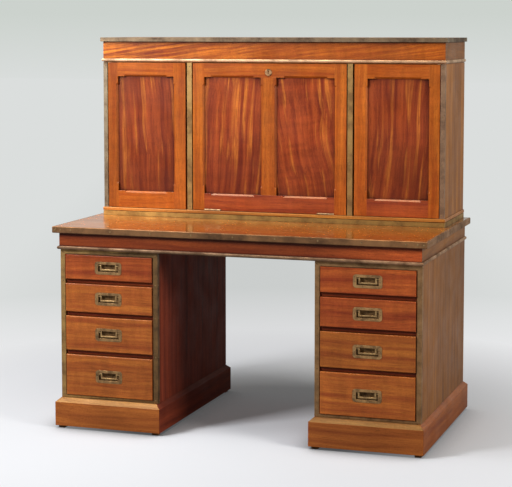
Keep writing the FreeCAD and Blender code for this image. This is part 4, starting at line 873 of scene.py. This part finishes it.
# Close round and under the desk the paper is painted darker: a painted contact shadow.
under = add(tree, "AmbientOcclusion", {"Distance": CONTACT_REACH}, samples=8).outputs["AO"]
contact = ramp(tree, under, [(0.34, 0.06), (0.90, 1.0)])
shaded = blend(tree, 1.0, blend(tree, to_camera, PAPER_UNSEEN, PAPER_SEEN), contact, "MULTIPLY")
tree.links.new(shaded, shader.inputs["Base Color"])
looked_at = calculate(tree, "MAXIMUM", to_camera, calculate(tree, "MULTIPLY", to_polish, MIRRORED_GLOW))
share = calculate(tree, "MULTIPLY", looked_at, between(tree, distance, *GLOW_REACH, LEAST_GLOW))
both = add(tree, "MixShader", {0: share, 1: shader.outputs[0], 2: glow}).outputs[0]
tree.links.new(both, tree.nodes["Material Output"].inputs["Surface"])
floor.data.materials.append(floor_material)
print("floor laid,", FLOOR_SIZE, "metres wide")

# %% [markdown]
# ## Sky
# Polish shows whatever is round the desk, so the sky answers three kinds of rays. The camera
# sees a plain pale backdrop. Glossy surfaces see it dark in front and brighter behind, with a
# warm bright patch overhead that puts a sheen on the top. All other rays find only a dim
# light, which softens the shadows.

# %% The sky
BACKDROP = colour(204, 210, 205)
LAMPLIGHT = colour(236, 206, 160)
OVERHEAD = Vector((-0.32, -0.09, 0.94)).normalized()
PATCH_EDGE, PATCH_STRENGTH = (0.965, 0.99), 14.0
FRONT_TO_BACK, MIRRORED_SKY = (-0.35, 0.45), (0.06, 0.85)
HORIZON_BAND = (-0.035, 0.01)
AMBIENT = 0.18


def mixed(tree, factor, first, second):
    """Mix two numbers."""
    return add(tree, "Mix", {0: factor, 2: first, 3: second}, data_type="FLOAT").outputs[0]


world = bpy.data.worlds.new("studio")
bpy.context.scene.world = world
world.use_nodes = True
sky = world.node_tree
background = sky.nodes["Background"]
heading = add(sky, "TexCoord").outputs["Generated"]
patch = between(sky, dot(sky, heading, OVERHEAD), *PATCH_EDGE)
mirrored = eased(sky, heading, "Y", *FRONT_TO_BACK, *MIRRORED_SKY)
mirrored = calculate(sky, "MULTIPLY_ADD", patch, PATCH_STRENGTH, mirrored)
backdrop = blend(sky, eased(sky, heading, "Z", *HORIZON_BAND, 0.0), HORIZON, BACKDROP)
sky.links.new(blend(sky, patch, backdrop, LAMPLIGHT), background.inputs["Color"])
path = add(sky, "LightPath")
unseen = mixed(sky, path.outputs["Is Glossy Ray"], AMBIENT, mirrored)
strength = mixed(sky, path.outputs["Is Camera Ray"], unseen, 1.0)
sky.links.new(strength, background.inputs["Strength"])
print("sky ready, ambient light", AMBIENT)

# %% [markdown]
# ## Lamps
# Three soft square lamps. The key stands in front and to the left and casts the main shadow. One at
# the right lights that side of the desk in a warmer tone. The weakest hangs above.

# %% The lamps
AIM = Vector((0, 0, 0.7))
WHITE, WARM = (1, 1, 1), (1.0, 0.95, 0.88)
LAMPS = {"key": ((-2.2, -2.6, 2.5), 0.9, 120, WHITE),
         "side": ((4.0, -1.4, 2.3), 1.3, 110, WARM),
         "top": ((-1.4, -0.9, 3.0), 1.2, 40, WHITE)}
for name, (place, size, power, tint) in LAMPS.items():
    data = bpy.data.lights.new(name, "AREA")
    data.size = size
    data.energy = power
    data.color = tint
    lamp = bpy.data.objects.new(name, data)
    lamp.location = place
    lamp.rotation_euler = (AIM - Vector(place)).to_track_quat("-Z", "Y").to_euler()
    bpy.context.scene.collection.objects.link(lamp)
bpy.context.scene.view_settings.view_transform = "Standard"
print(len(LAMPS), "lamps lit")
